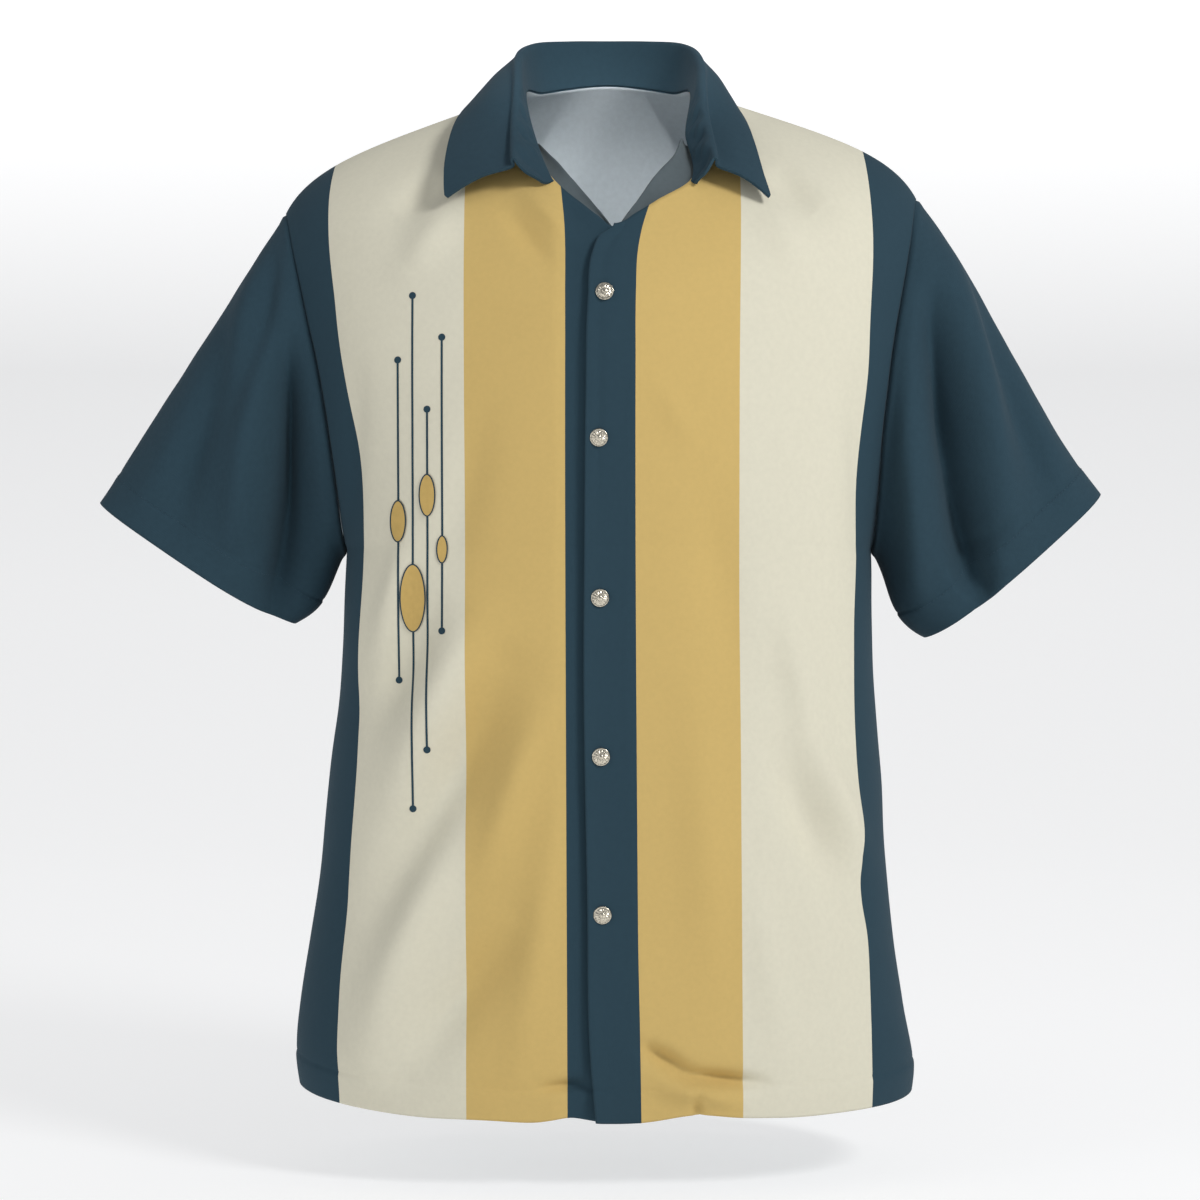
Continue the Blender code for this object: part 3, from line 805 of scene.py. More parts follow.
@dataclass(frozen=True)
class ButtonMetal(Finish):
    """Warm polished metal, its tone and roughness varied at random by noise."""

    colour: Colour = (0.60, 0.555, 0.455)
    roughness: tuple[float, float] = (0.18, 0.34)
    grain: float = 900.0
    mottle: tuple[float, float] = (0.42, 1100.0)

    def paint(self, tree: bpy.types.NodeTree, shader: bpy.types.Node) -> None:
        """Set up uneven, worn metal.

        Args:
            tree: The material's nodes and links.
            shader: Its shader.
        """
        shader.inputs["Metallic"].default_value = 1.0
        place = add_node(tree, "TexCoord")
        noise = add_node(tree, "TexNoise", {"Vector": place.outputs["Object"]},
                         {"Scale": self.grain})
        rough = add_node(tree, "MapRange", {0: noise.outputs[0]},
                         {3: self.roughness[0], 4: self.roughness[1]})
        tree.links.new(rough.outputs[0], shader.inputs["Roughness"])
        tree.links.new(mottled(tree, self.colour, *self.mottle),
                       shader.inputs["Base Color"])


@dataclass(frozen=True)
class Paper(Finish):
    """Studio paper that glows a little, by its height."""

    colour: Colour = (0.42, 0.423, 0.425)
    roughness: float = 0.95
    low: float = -0.785
    high: float = 1.2
    glow: Table = (
        # share of the height, grey
        (0.0, 0.61), (0.22, 0.50), (0.45, 0.55), (1.0, 0.60),
    )

    def paint(self, tree: bpy.types.NodeTree, shader: bpy.types.Node) -> None:
        """Set up the paper and its glow.

        Args:
            tree: The material's nodes and links.
            shader: Its shader.
        """
        place = add_node(tree, "TexCoord")
        split = add_node(tree, "SeparateXYZ", {0: place.outputs["Object"]})
        rise = add_node(tree, "MapRange", {"Value": split.outputs["Z"]},
                        {"From Min": self.low, "From Max": self.high})
        ramp = add_node(tree, "ValToRGB", {0: rise.outputs["Result"]})
        stops = ramp.color_ramp.elements
        for share, grey in self.glow:
            stop = stops.new(share) if 0.0 < share < 1.0 else stops[int(share)]
            stop.color = (grey, grey, grey, 1.0)
        tree.links.new(ramp.outputs[0], shader.inputs["Emission Color"])
        shader.inputs["Base Color"].default_value = (*self.colour, 1.0)
        shader.inputs["Emission Strength"].default_value = 1.0
        shader.inputs["Roughness"].default_value = self.roughness


NAVY_TINT = (0.0265, 0.0560, 0.0770)
NAVY = Weave("navy_cloth_look", NAVY_TINT)
STRIPED = StripedCloth("striped_cloth_look", NAVY_TINT)
INSIDE = Weave("inside_cloth_look", (0.56, 0.615, 0.645))
# Painted shade: the facings show the same wrong side of the cloth as INSIDE, and this darker copy of its colour stands
# in for the shadow on them behind the collar.
SHADED_FACING = Weave("facing_cloth_look", (0.098, 0.121, 0.131))
THREAD = Weave("thread_look", (0.036, 0.070, 0.096), thread=0.0003)
GOLD_PRINT = Weave("gold_print_look", (0.560, 0.385, 0.130))
BUTTON = ButtonMetal("button_metal_look")
PAPER = Paper("studio_paper")


# ==== meshes ============================================================================

def cloth_mesh(name: str, points: Array, looks: list[bpy.types.Material],
               attributes: dict[str, Array] | None = None,
               tube: bool = False) -> bpy.types.Object:
    """Shape a grid into a sheet of cloth.

    Args:
        name: The piece's name.
        points: Rows and columns of places, so that the grid's face looks out.
        looks: Its materials.
        attributes: Values to keep at each place.
        tube: True where the last column meets the first.

    Returns:
        The new object.
    """
    rows, columns = points.shape[:2]
    made = bmesh.new()
    bmesh.ops.create_grid(made, x_segments=columns - 1, y_segments=rows - 1, size=1.0)
    across = np.cumsum(np.linalg.norm(np.diff(points[rows // 2], axis=0), axis=-1))
    upward = np.cumsum(np.linalg.norm(np.diff(points[:, columns // 2], axis=0), axis=-1))
    across, upward = np.concatenate([[0.0], across]), np.concatenate([[0.0], upward])
    layers = {key: made.verts.layers.float.new(key) for key in attributes or {}}
    uv = made.loops.layers.uv.new("cloth")
    cells = {}
    for vert in made.verts:
        i = round((vert.co.x + 1.0) * 0.5 * (columns - 1))
        j = round((vert.co.y + 1.0) * 0.5 * (rows - 1))
        cells[vert] = (i, j)
        for key, layer in layers.items():
            vert[layer] = float(attributes[key][j, i])
    for face in made.faces:
        face.smooth = True
        for loop in face.loops:
            i, j = cells[loop.vert]
            loop[uv].uv = (across[i] * MM, upward[j] * MM)
    for vert, (i, j) in cells.items():
        vert.co = points[j, i] * MM
    if tube:
        edge = [vert for vert, (i, _) in cells.items() if i in (0, columns - 1)]
        bmesh.ops.remove_doubles(made, verts=edge, dist=1e-6)
    return finish_mesh(name, made, looks)


def finish_mesh(name: str, made: bmesh.types.BMesh,
                looks: list[bpy.types.Material]) -> bpy.types.Object:
    """Turn a bmesh into an object with its materials.

    Args:
        name: The piece's name.
        made: The bmesh, which is freed.
        looks: The materials.

    Returns:
        The new object.
    """
    mesh = bpy.data.meshes.new(name)
    made.to_mesh(mesh)
    made.free()
    for look in looks:
        mesh.materials.append(look)
    piece = bpy.data.objects.new(name, mesh)
    bpy.context.scene.collection.objects.link(piece)
    return piece


def thicken(piece: bpy.types.Object, thickness: float, offset: float = -1.0) -> None:
    """Give a sheet its wall, with the second material inside if it has one.

    Args:
        piece: The sheet.
        thickness: The wall, in millimetres.
        offset: -1 to grow inwards, 0 to both sides.
    """
    wall = piece.modifiers.new("wall", "SOLIDIFY")
    wall.thickness = thickness * MM
    wall.offset = offset
    wall.use_even_offset = False
    wall.material_offset = 1 if len(piece.data.materials) > 1 else 0


def stitches(name: str, path: Array, normals: Array, look: bpy.types.Material,
             pitch: float = 2.9) -> bpy.types.Object:
    """Sew a line of short stitches.

    Args:
        name: The piece's name.
        path: Places along the line.
        normals: Outward directions there.
        look: The thread's material.
        pitch: Distance from stitch to stitch.

    Returns:
        All the stitches as one object.
    """
    steps = np.linalg.norm(np.diff(path, axis=0), axis=-1)
    run = np.concatenate([[0.0], np.cumsum(steps)])
    count = max(2, int(run[-1] / pitch))
    made = bmesh.new()

    def read(table: Array, at: float) -> Array:
        """Return a row of the table at a distance along the line."""
        return np.array([np.interp(at, run, table[:, i]) for i in range(3)])

    for index in range(count):
        at = (index + 0.5) * run[-1] / count
        up = Vector(read(normals, at)).normalized()
        along = Vector(read(path, at + 0.8) - read(path, at - 0.8)).normalized()
        axes = (along, up.cross(along).normalized(), up)
        turn = Matrix([axis * half for axis, half in zip(axes, STITCH_HALF)])
        turn = turn.transposed().to_4x4() * MM
        turn[3][3] = 1.0
        turn.translation = Vector(read(path, at) * MM) + up * 0.05 * MM
        bmesh.ops.create_icosphere(made, subdivisions=1, radius=1.0, matrix=turn)
    for face in made.faces:
        face.smooth = True
    made.loops.layers.uv.new("cloth")
    bmesh.ops.recalc_face_normals(made, faces=made.faces)
    return finish_mesh(name, made, [look])


def dress(piece: bpy.types.Object, slot: str, *nodes: str) -> bpy.types.Object:
    """Ride a piece on the shirt, name its slot and the nodes that it stands for.

    Args:
        piece: The piece.
        slot: Its material slot.
        nodes: The nodes it stands for, if any.

    Returns:
        The piece.
    """
    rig.ride(piece, "root")
    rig.slot(piece, slot)
    if nodes:
        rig.replaces(piece, *nodes)
    LOG.info("%s: %d faces", piece.name, len(piece.data.polygons))
    return piece


# ==== panels ============================================================================

@dataclass
class Panels:
    """The two fronts and the back, with their bands, hems and stitching."""

    body: BodyForm
    armholes: dict[Side, Armhole]
    columns: int = 120
    back_columns: int = 150
    hem_rows: int = 18
    low_rows: int = 99
    seam_rows: int = 84
    high_rows: int = 43
    seam_gap: float = 0.05
    crest: float = 9.0
    edge_roll: float = 1.5
    band_seam: float = 0.35
    band_groove: float = 0.5
    groove_fade: tuple[float, float] = (-330.0, -240.0)
    stitched_hem: tuple[float, float] = (92.0, 268.0)
    overlap_drop: float = 3.2
    under_edge: float = 17.0
    under_ramp: tuple[float, float] = (-38.0, -22.0)
    top_edge: Table = (
        # z, x of the top front's closing edge
        (-738.0, -8.0), (-690.0, -12.0), (-580.0, -14.0), (-430.0, -16.5),
        (-330.0, -16.0), (-230.0, -15.0), (-165.0, -13.5), (-134.0, -10.5),
        (-121.0, -4.5), (-113.0, 4.0), (-105.0, 5.4),
    )
    left_bands: Table = (
        # z, x of the borders band to gold, gold to cream, cream to side
        (-738.0, 23.7, 94.4, 186.9),
        (-671.0, 22.6, 94.0, 187.0),
        (-613.0, 21.4, 93.6, 185.6),
        (-580.0, 21.1, 93.4, 180.8),
        (-500.0, 20.5, 93.1, 177.3),
        (-384.0, 19.8, 92.2, 176.2),
        (-305.0, 19.5, 92.0, 179.2),
        (-211.0, 19.5, 92.2, 185.8),
        (-160.0, 19.8, 92.8, 187.9),
        (-130.0, 21.3, 93.4, 189.5),
        (-114.0, 24.2, 93.8, 189.8),
        (-97.0, 29.2, 94.2, 189.5),
        (-76.0, 37.0, 94.5, 188.7),
        (-50.0, 46.0, 94.5, 187.5),
    )
    right_bands: Table = (
        # z, the same borders on the wearer's right, as distances to that side
        (-738.0, 27.6, 98.0, 189.3),
        (-650.0, 27.9, 98.2, 190.0),
        (-587.0, 28.2, 98.5, 184.6),
        (-500.0, 28.6, 98.8, 178.5),
        (-405.0, 29.0, 99.1, 176.5),
        (-348.0, 29.2, 99.3, 173.2),
        (-310.0, 29.3, 99.5, 174.7),
        (-234.0, 29.3, 99.8, 183.8),
        (-165.0, 29.3, 100.2, 193.0),
        (-112.0, 30.0, 100.6, 199.3),
        (-84.0, 32.5, 100.9, 200.4),
        (-54.0, 36.0, 101.0, 199.0),
    )

    def rows(self, side: Side, behind: bool) -> tuple[Array, Array]:
        """Return a panel's levels and the angle where each row ends at its seam.

        Args:
            side: The side of the seam.
            behind: True for the back.

        Returns:
            The levels and the angles.
        """
        turn = np.linspace(180.0, 0.0, 241)
        angle, level = self.armholes[side].place(360.0 - turn if behind else turn)
        peak = int(np.argmax(level))
        share = np.sin(np.linspace(0.0, 0.5 * math.pi, self.seam_rows)) ** 1.5
        spaced = level[0] + (level[peak] - level[0]) * share
        angle = np.interp(spaced, level[:peak + 1], angle[:peak + 1])
        level = spaced
        hem = self.body.level_above_hem(np.zeros(1), self.body.hem_turn + 6.0)[0]
        low = np.concatenate([np.linspace(0.0, hem, self.hem_rows, endpoint=False),
                              np.linspace(hem, 1.0, self.low_rows, endpoint=False)])
        high = np.linspace(level[-1], 2.0, self.high_rows + 1)[1:]
        levels = np.concatenate([low, level, high])
        crest = self.crest * soft_step(level[-1], level[-1] + 0.3, levels)
        seam = side.value * (90.0 + crest)
        seam[len(low):len(low) + len(level)] = angle
        width = np.linalg.norm(self.body.plain(seam + 0.5, levels)
                               - self.body.plain(seam - 0.5, levels), axis=-1)
        towards = side.value if behind else -side.value
        return levels, seam + towards * 0.5 * self.seam_gap / width

    def closing_edge(self, side: Side, levels: Array) -> Array:
        """Return x of a front's closing edge at each level.

        Args:
            side: The front's side.
            levels: Levels up the body.

        Returns:
            The x of each.
        """
        if side is Side.RIGHT:
            edge = np.full_like(levels, self.under_edge)
            return np.where(levels > 1.97, 12.0, edge)
        heights = self.body.plain(np.zeros_like(levels), levels)[..., 2]
        return curve(column(self.top_edge, 0), column(self.top_edge, 1), heights)

    def front(self, side: Side) -> bpy.types.Object:
        """Build one front; the wearer's left one lies on top.

        Args:
            side: The front's side.

        Returns:
            The front.
        """
        levels, seam = self.rows(side, behind=False)
        edge = self.body.angle_at_x(self.closing_edge(side, levels), levels)
        share = np.linspace(0.0, 1.0, self.columns + 1) ** 1.1
        angle = edge[:, None] + (seam - edge)[:, None] * share
        level = np.repeat(levels[:, None], self.columns + 1, axis=1)
        outer = self.body.cloth(angle, level)
        normal = self.body.normal(self.body.plain, angle, level)
        if side is Side.RIGHT:
            sink = soft_step(*self.under_ramp, outer[..., 0])
            outer = outer - normal * (self.overlap_drop * sink)[..., None]
            angle_order = slice(None, None, -1)
            table, sign = self.right_bands, -1.0
        else:
            distance = outer[..., 0] - outer[:, :1, 0]
            lift = (ridge(distance, 0.0, 7.0, self.edge_roll)
                    + ridge(distance, 31.0, 2.2, self.band_seam)
                    - ridge(distance, 9.0, 2.5, self.band_groove)
                    * soft_step(*self.groove_fade, outer[..., 2]))
            outer = outer + normal * lift[..., None]
            angle_order = slice(None)
            table, sign = self.left_bands, 1.0
        plain = self.body.plain(angle, level)
        borders = [curve(column(table, 0), column(table, i), plain[..., 2])
                   for i in (1, 2, 3)]
        names = ("past_band", "past_gold", "past_cream")
        places = (outer[..., 0], outer[..., 0], plain[..., 0])
        marks = {key: (place * sign - border)[:, angle_order]
                 for key, place, border in zip(names, places, borders)}
        piece = cloth_mesh(f"front_{side.word}_panel", outer[:, angle_order],
                           [STRIPED.make(), INSIDE.make()], marks)
        thicken(piece, CLOTH)
        return dress(piece, "striped_cloth", f"front_{side.word}")

    def back(self) -> bpy.types.Object:
        """Build the back in one piece.

        Returns:
            The back.
        """
        left_levels, left_seam = self.rows(Side.LEFT, behind=True)
        right_levels, right_seam = self.rows(Side.RIGHT, behind=True)
        share = np.linspace(0.0, 1.0, self.back_columns + 1)
        start, end = left_seam[:, None], (right_seam + 360.0)[:, None]
        angle = start + (end - start) * share
        level = left_levels[:, None] * (1 - share) + right_levels[:, None] * share
        angle = np.where(angle > 180.0, angle - 360.0, angle)
        piece = cloth_mesh("back_panel", self.body.cloth(angle, level),
                           [NAVY.make(), INSIDE.make()])
        thicken(piece, CLOTH)
        return dress(piece, "navy_cloth", "back")

    def hem_stitches(self) -> bpy.types.Object:
        """Sew the line of the back's hem.

        Returns:
            The stitching.
        """
        angle = np.linspace(*self.stitched_hem, 240)
        level = self.body.level_above_hem(angle, self.body.hem_turn - STITCH_SET)
        line = stitches("hem_stitches_back", self.body.cloth(angle, level),
                        self.body.normal(self.body.plain, angle, level), THREAD.make())
        return dress(line, "navy_cloth")


@dataclass
class PrintedLines:
    """A plain print on the wearer's right front: upright lines, rings and ovals."""

    body: BodyForm
    line_lift: float = 0.22
    lines: Table = (
        # x, top z, bottom z
        (-147.0, -205.0, -430.0),
        (-136.5, -160.0, -520.0),
        (-126.0, -240.0, -478.0),
        (-115.5, -190.0, -395.0),
    )
    ovals: Table = (
        # x, z, half width, half height
        (-147.0, -318.0, 6.0, 15.0),
        (-136.5, -372.0, 9.5, 24.0),
        (-126.0, -300.0, 6.0, 15.0),
        (-115.5, -338.0, 4.2, 10.0),
    )
    line_half: float = 0.75
    dot: float = 2.5
    rim: float = 0.9
    gold_lift: float = 0.72
    rim_lift: float = 0.82

    def lay(self, made: bmesh.types.BMesh, lift: float) -> bmesh.types.BMesh:
        """Lay flat shapes, drawn in x and y, on the front of the cloth.

        Args:
            made: The flat shapes.
            lift: Their height over the cloth.

        Returns:
            The same bmesh.
        """
        verts = list(made.verts)
        flat = np.array([tuple(vert.co) for vert in verts])
        angle = np.full(len(verts), -35.0)
        level = np.where(flat[:, 1] > -336.0, 1.3, 0.7)
        target = flat[:, :2].copy()
        for _ in range(8):
            angle, level = self.body.find([0, 2], target, angle, level)
            spot = self.body.cloth(angle, level)
            target += flat[:, :2] - spot[:, [0, 2]]
        spot = spot + self.body.normal(self.body.cloth, angle, level) * lift
        for vert, place in zip(verts, spot):
            vert.co = place * MM
        for face in made.faces:
            face.normal_update()
            face.smooth = True
            if face.normal.y > 0.0:
                face.normal_flip()
        made.loops.layers.uv.new("cloth")
        return made

    def oval(self, made: bmesh.types.BMesh, x: float, z: float, half_x: float,
             half_z: float, hollow: float = 0.0) -> None:
        """Add an oval, or a ring of a given thickness.

        Args:
            made: The bmesh that takes it.
            x: The middle's x.
            z: The middle's height.
            half_x: Half the width.
            half_z: Half the height.
            hollow: The ring's thickness, or 0 for a full oval.
        """
        ring = bmesh.ops.create_circle(made, cap_ends=True, segments=40, radius=1.0)
        verts = ring["verts"]
        bmesh.ops.scale(made, vec=(half_x, half_z, 1.0), verts=verts)
        bmesh.ops.translate(made, vec=(x, z, 0.0), verts=verts)
        face = verts[0].link_faces[0]
        if hollow:
            bmesh.ops.inset_individual(made, faces=[face], thickness=hollow, depth=0.0)
            bmesh.ops.delete(made, geom=[face], context="FACES_ONLY")
        else:
            for _ in range(4):
                bmesh.ops.inset_individual(made, faces=[face], thickness=half_x * 0.2)
            bmesh.ops.poke(made, faces=[face])

    def build(self) -> list[bpy.types.Object]:
        """Build the navy lines and rings and the gold ovals.

        Returns:
            The three pieces.
        """
        navy, gold, rims = bmesh.new(), bmesh.new(), bmesh.new()
        for x, top, bottom in self.lines:
            grid = bmesh.ops.create_grid(navy, x_segments=1, y_segments=90, size=0.5)
            bmesh.ops.scale(navy, vec=(2.0 * self.line_half, top - bottom, 1.0),
                            verts=grid["verts"])
            bmesh.ops.translate(navy, vec=(x, 0.5 * (top + bottom), 0.0),
                                verts=grid["verts"])
            for z in (top, bottom):
                self.oval(navy, x, z, self.dot, self.dot)
        for x, z, half_x, half_z in self.ovals:
            self.oval(gold, x, z, half_x, half_z)
            self.oval(rims, x, z, half_x, half_z, hollow=self.rim)
        layers = (("print_lines", navy, self.line_lift, NAVY, "navy_cloth"),
                  ("print_ovals", gold, self.gold_lift, GOLD_PRINT, "striped_cloth"),
                  ("print_rims", rims, self.rim_lift, NAVY, "navy_cloth"))
        return [dress(finish_mesh(name, self.lay(made, lift), [look.make()]), slot)
                for name, made, lift, look, slot in layers]


# ==== sleeves ===========================================================================

@dataclass
class Sleeve:
    """One short sleeve with its turned cuff and stitching."""

    body: BodyForm
    armhole: Armhole
    cuff: tuple[float, float, float, float, float, float]
    folds: Table
    columns: int = 168
    rows: int = 84
    rounding: float = 0.5
    hem_turn: float = 25.0
    hem_step: float = 0.6
    underside: float = 7.5
    ripples: Table = ((40.0, 2.0, 0.9), (15.0, 5.0, 0.3))

    @property
    def side(self) -> int:
        """The side's sign."""
        return self.armhole.side.value

    def cuff_line(self, turn: Array) -> Array:
        """Return points of the cuff's edge.

        Args:
            turn: Turns round the sleeve.

        Returns:
            The points.
        """
        top_x, top_z, low_x, low_z, half_depth, bow = self.cuff
        radians = np.radians(turn)
        across = np.array([top_x - low_x, 0.0, top_z - low_z]) * 0.5
        middle = np.array([top_x + low_x, 0.0, top_z + low_z]) * 0.5
        away = unit(np.array([abs(across[2]) * self.side, 0.0, -abs(across[0])]))
        wave = bow * np.sin(radians) ** 2 + 1.2 * np.sin(3.0 * radians + 0.6)
        return (middle + across * np.cos(radians)[..., None]
                + np.array([0.0, -half_depth, 0.0]) * np.sin(radians)[..., None]
                + away * wave[..., None])

    def plain(self, turn: Array, part: Array) -> Array:
        """Return the sleeve without folds: part 0 armhole, 1 cuff.

        Args:
            turn: Turns round the sleeve.
            part: Parts of the way to the cuff.

        Returns:
            Its points.
        """
        start = self.start_of(turn)
        end = self.cuff_line(turn)
        top_x, top_z, low_x, low_z = self.cuff[:4]
        axis = unit(np.array([self.side * abs(top_z - low_z), 0.0, -abs(top_x - low_x)]))
        length = np.linalg.norm(end - start, axis=-1, keepdims=True)
        bulge = np.zeros_like(start)
        bulge[..., 1] = -self.rounding * np.sin(np.radians(turn))
        return smooth_between(part[..., None], start, end, length * (axis + bulge),
                              length * axis)

    @cached_property
    def armhole_ring(self) -> tuple[Array, Array]:
        """Turns and points of the armhole, worked out once."""
        turns = np.linspace(-10.0, 370.0, 761)
        return turns, self.body.cloth(*self.armhole.place(turns))

    def start_of(self, turn: Array) -> Array:
        """Return the armhole's points at some turns."""
        turns, ring = self.armhole_ring
        return points_of(*(np.interp(turn, turns, ring[:, i]) for i in range(3)))

    def normal(self, turn: Array, part: Array) -> Array:
        """Return outward normals of the plain sleeve.

        Args:
            turn: Turns round the sleeve.
            part: Parts of the way to the cuff.

        Returns:
            The normals.
        """
        low, high = np.maximum(part - 0.01, 0.0), np.minimum(part + 0.01, 1.0)
        around = self.plain(turn + 1.0, part) - self.plain(turn - 1.0, part)
        down = self.plain(turn, high) - self.plain(turn, low)
        return self.side * unit(np.cross(around, down))

    def cloth(self, turn: Array, part: Array) -> Array:
        """Return the sleeve's outer surface with folds and turned cuff.

        Args:
            turn: Turns round the sleeve.
            part: Parts of the way to the cuff.

        Returns:
            Its points.
        """
        flat = self.plain(turn, part)
        free = soft_step(0.0, 0.16, part)
        push = free * (fold_push(flat, self.folds, 28.0)
                       + unevenness(flat, self.ripples))
        under = ridge(np.mod(turn, 360.0), 180.0, 42.0)
        push = push + self.underside * under * np.sin(math.pi * part ** 1.5)
        length = np.linalg.norm(self.cuff_line(turn) - self.start_of(turn), axis=-1)
        above = (1.0 - part) * length
        push = push + turned_edge(above, self.hem_turn, self.hem_step)
        step = part * length
        push = push - ridge(step, 0.0, 1.6) + ridge(step, 4.0, 2.5, 0.7)
        return flat + self.normal(turn, part) * push[..., None]

    def build(self) -> bpy.types.Object:
        """Build the sleeve.

        Returns:
            The sleeve.
        """
        turn = np.linspace(0.0, 360.0, self.columns + 1)
        part = np.linspace(0.0, 1.0, self.rows + 1)
        turns, parts = np.meshgrid(turn, part)
        outer = self.cloth(turns, parts)
        outer[:, -1] = outer[:, 0]
        inward = self.normal(turns[0], parts[0]) * 2.0
        hidden = outer[0] - unit(outer[3] - outer[0]) * 5.0 - inward
        outer = np.concatenate([hidden[None], outer])
        if self.side < 0:
            outer = outer[:, ::-1]
        word = self.armhole.side.word
        piece = cloth_mesh(f"sleeve_{word}_tube", outer, [NAVY.make(), INSIDE.make()],
                           tube=True)
        thicken(piece, CLOTH)
        return dress(piece, "navy_cloth", f"sleeve_{word}")

    def cuff_stitches(self) -> bpy.types.Object:
        """Sew the cuff's line.

        Returns:
            The stitching.
        """
        turn = np.linspace(0.0, 360.0, 200)
        length = np.linalg.norm(self.cuff_line(turn) - self.start_of(turn), axis=-1)
        part = 1.0 - (self.hem_turn - STITCH_SET) / length
        line = stitches(f"cuff_stitches_{self.armhole.side.word}",
                        self.cloth(turn, part), self.normal(turn, part), THREAD.make())
        return dress(line, "navy_cloth")


# ==== collar and facings ================================================================

@dataclass
class Collar:
    """The camp collar: stand, rolled fold and pointed leaf."""

    body: BodyForm
    end_angle: float = 40.0
    thickness: float = 2.0
    fold_radius: float = 3.0
    belly: float = 3.0
    stand_drop: float = 8.0
    columns: int = 260
    rows: tuple[tuple[float, float, int], ...] = (
        # from, to, count
        (0.0, 2.0, 17), (2.0, 4.2, 21), (4.2, 7.0, 25),
    )
    tip_rounding: tuple[float, float] = (0.35, 0.12)
    fold: Table = (
        # angle, half, shift, y, z
        (40.0, 70.0, 4.6, -97.0, -62.0),
        (52.0, 69.0, 3.0, -72.0, -42.0),
        (66.0, 67.0, 2.0, -44.0, -18.0),
        (78.0, 66.0, 2.0, -22.0, 2.0),
        (92.0, 66.0, 2.0, 2.0, 20.0),
        (108.0, 64.0, 1.0, 26.0, 34.0),
        (128.0, 55.0, 1.0, 54.0, 45.0),
        (155.0, 29.0, 0.5, 76.0, 51.0),
        (180.0, 0.0, 0.5, 83.0, 52.5),
    )
    edge: Table = (
        # angle, half, shift, y, z
        (40.0, 114.5, 0.5, -93.0, -91.0),
        (48.0, 113.0, -2.5, -80.0, -72.0),
        (60.0, 110.0, -4.0, -61.0, -51.0),
        (74.0, 105.0, -4.5, -36.0, -29.0),
        (90.0, 97.5, -4.0, 0.0, -9.0),
        (108.0, 90.0, -3.0, 38.0, 0.0),
        (128.0, 72.0, -1.0, 70.0, 1.0),
        (155.0, 36.0, 0.0, 94.0, -1.5),
        (180.0, 0.0, 0.5, 99.0, -3.0),
    )

    def line(self, ring: Array, angle: Array) -> Array:
        """Return points of a line round the neck."""
        return points_of(*(curve(ring[:, 0], ring[:, i], angle) for i in (1, 2, 3)))

    def sheet(self, angle: Array, across: Array) -> Array:
        """Return the collar's cloth: across 0 at the seam, 3 on the fold, 7 the edge.

        Args:
            angle: Angles round the neck.
            across: Places from seam to edge.

        Returns:
            Its points.
        """
        neck = self.body.neck_line(angle)
        fold, edge = (self.line(both_sides(t), angle) for t in (self.fold, self.edge))
        rise, fall = unit(fold - neck), unit(edge - fold)
        cosine = np.sum(fall * rise, axis=-1, keepdims=True)
        outward, belly = unit(fall - rise * cosine), unit(rise - fall * cosine)
        radius = self.fold_radius
        crest = fold - rise * radius
        turn = crest + outward * radius * 2.0
        stations = np.stack([
            neck, neck + (crest - neck) * 0.5, crest, crest + (rise + outward) * radius,
            turn + fall * radius * 0.5, turn + (edge - turn) * 0.4 + belly * self.belly,
            turn + (edge - turn) * 0.72 + belly * self.belly * 0.8, edge])
        slopes = np.gradient(stations, axis=0)
        cell = np.clip(across.astype(int), 0, 6)
        part = (across - cell)[..., None]
        pick = np.arange(len(angle))
        return smooth_between(part, stations[cell, pick], stations[cell + 1, pick],
                              slopes[cell, pick], slopes[cell + 1, pick])

    def cloth(self, angle: Array, across: Array) -> Array:
        """Add the stand's dropped end, gathers and a wave along the leaf to the sheet.

        Args:
            angle: Angles round the neck.
            across: Places from seam to edge.

        Returns:
            Its points.
        """
        spot = self.sheet(angle, across)
        size = np.abs(np.where(angle > 180.0, angle - 360.0, angle))
        near_end = soft_step(52.0, self.end_angle, size)
        stand = np.clip(1.0 - np.abs(across - 1.1) / 1.5, 0.0, 1.0)
        drop = self.stand_drop * near_end ** 2 * soft_step(0.0, 0.8, stand)
        spot[..., 2] -= drop
        spot[..., 1] -= 0.35 * drop
        gather = (np.sin(size * 0.62 + across * 1.4)
                  + 0.5 * np.sin(size * 1.17 - across * 2.2)) * soft_step(84.0, 58.0, size)
        gather = gather * np.clip(1.0 - np.abs(across - 1.2) / 1.6, 0.0, 1.0)
        gather = gather * soft_step(0.1, 0.9, across)
        spot[..., 0] += np.where(spot[..., 0] < 0.0, 1.0, -1.0) * 1.9 * gather
        wave = np.sin(size * 0.11 + 0.8) * soft_step(3.5, 6.5, across)
        spot[..., 2] += 1.0 * wave * soft_step(40.0, 60.0, size)
        return spot

    def build(self) -> bpy.types.Object:
        """Build the collar.

        Returns:
            The collar.
        """
        angle = np.linspace(self.end_angle, 360.0 - self.end_angle, self.columns + 1)
        across = np.concatenate([np.linspace(*row, endpoint=False) for row in self.rows]
                                + [[self.rows[-1][1]]])
        signed = np.where(angle > 180.0, angle - 360.0, angle)
        outer = np.stack([self.cloth(signed, np.full_like(angle, a)) for a in across])
        for end in (0, -1):
            corner = outer[-1, end] - outer[-4, end]
            for row, share in zip((-1, -2), self.tip_rounding):
                outer[row, end] -= share * corner
        piece = cloth_mesh("collar_cloth", outer, [NAVY.make()])
        thicken(piece, self.thickness, 0.0)
        edge = piece.modifiers.new("edge", "BEVEL")
        edge.width = 0.0005
        edge.segments = 2
        edge.limit_method = "ANGLE"
        edge.angle_limit = math.radians(50.0)
        return dress(piece, "navy_cloth", "collar")


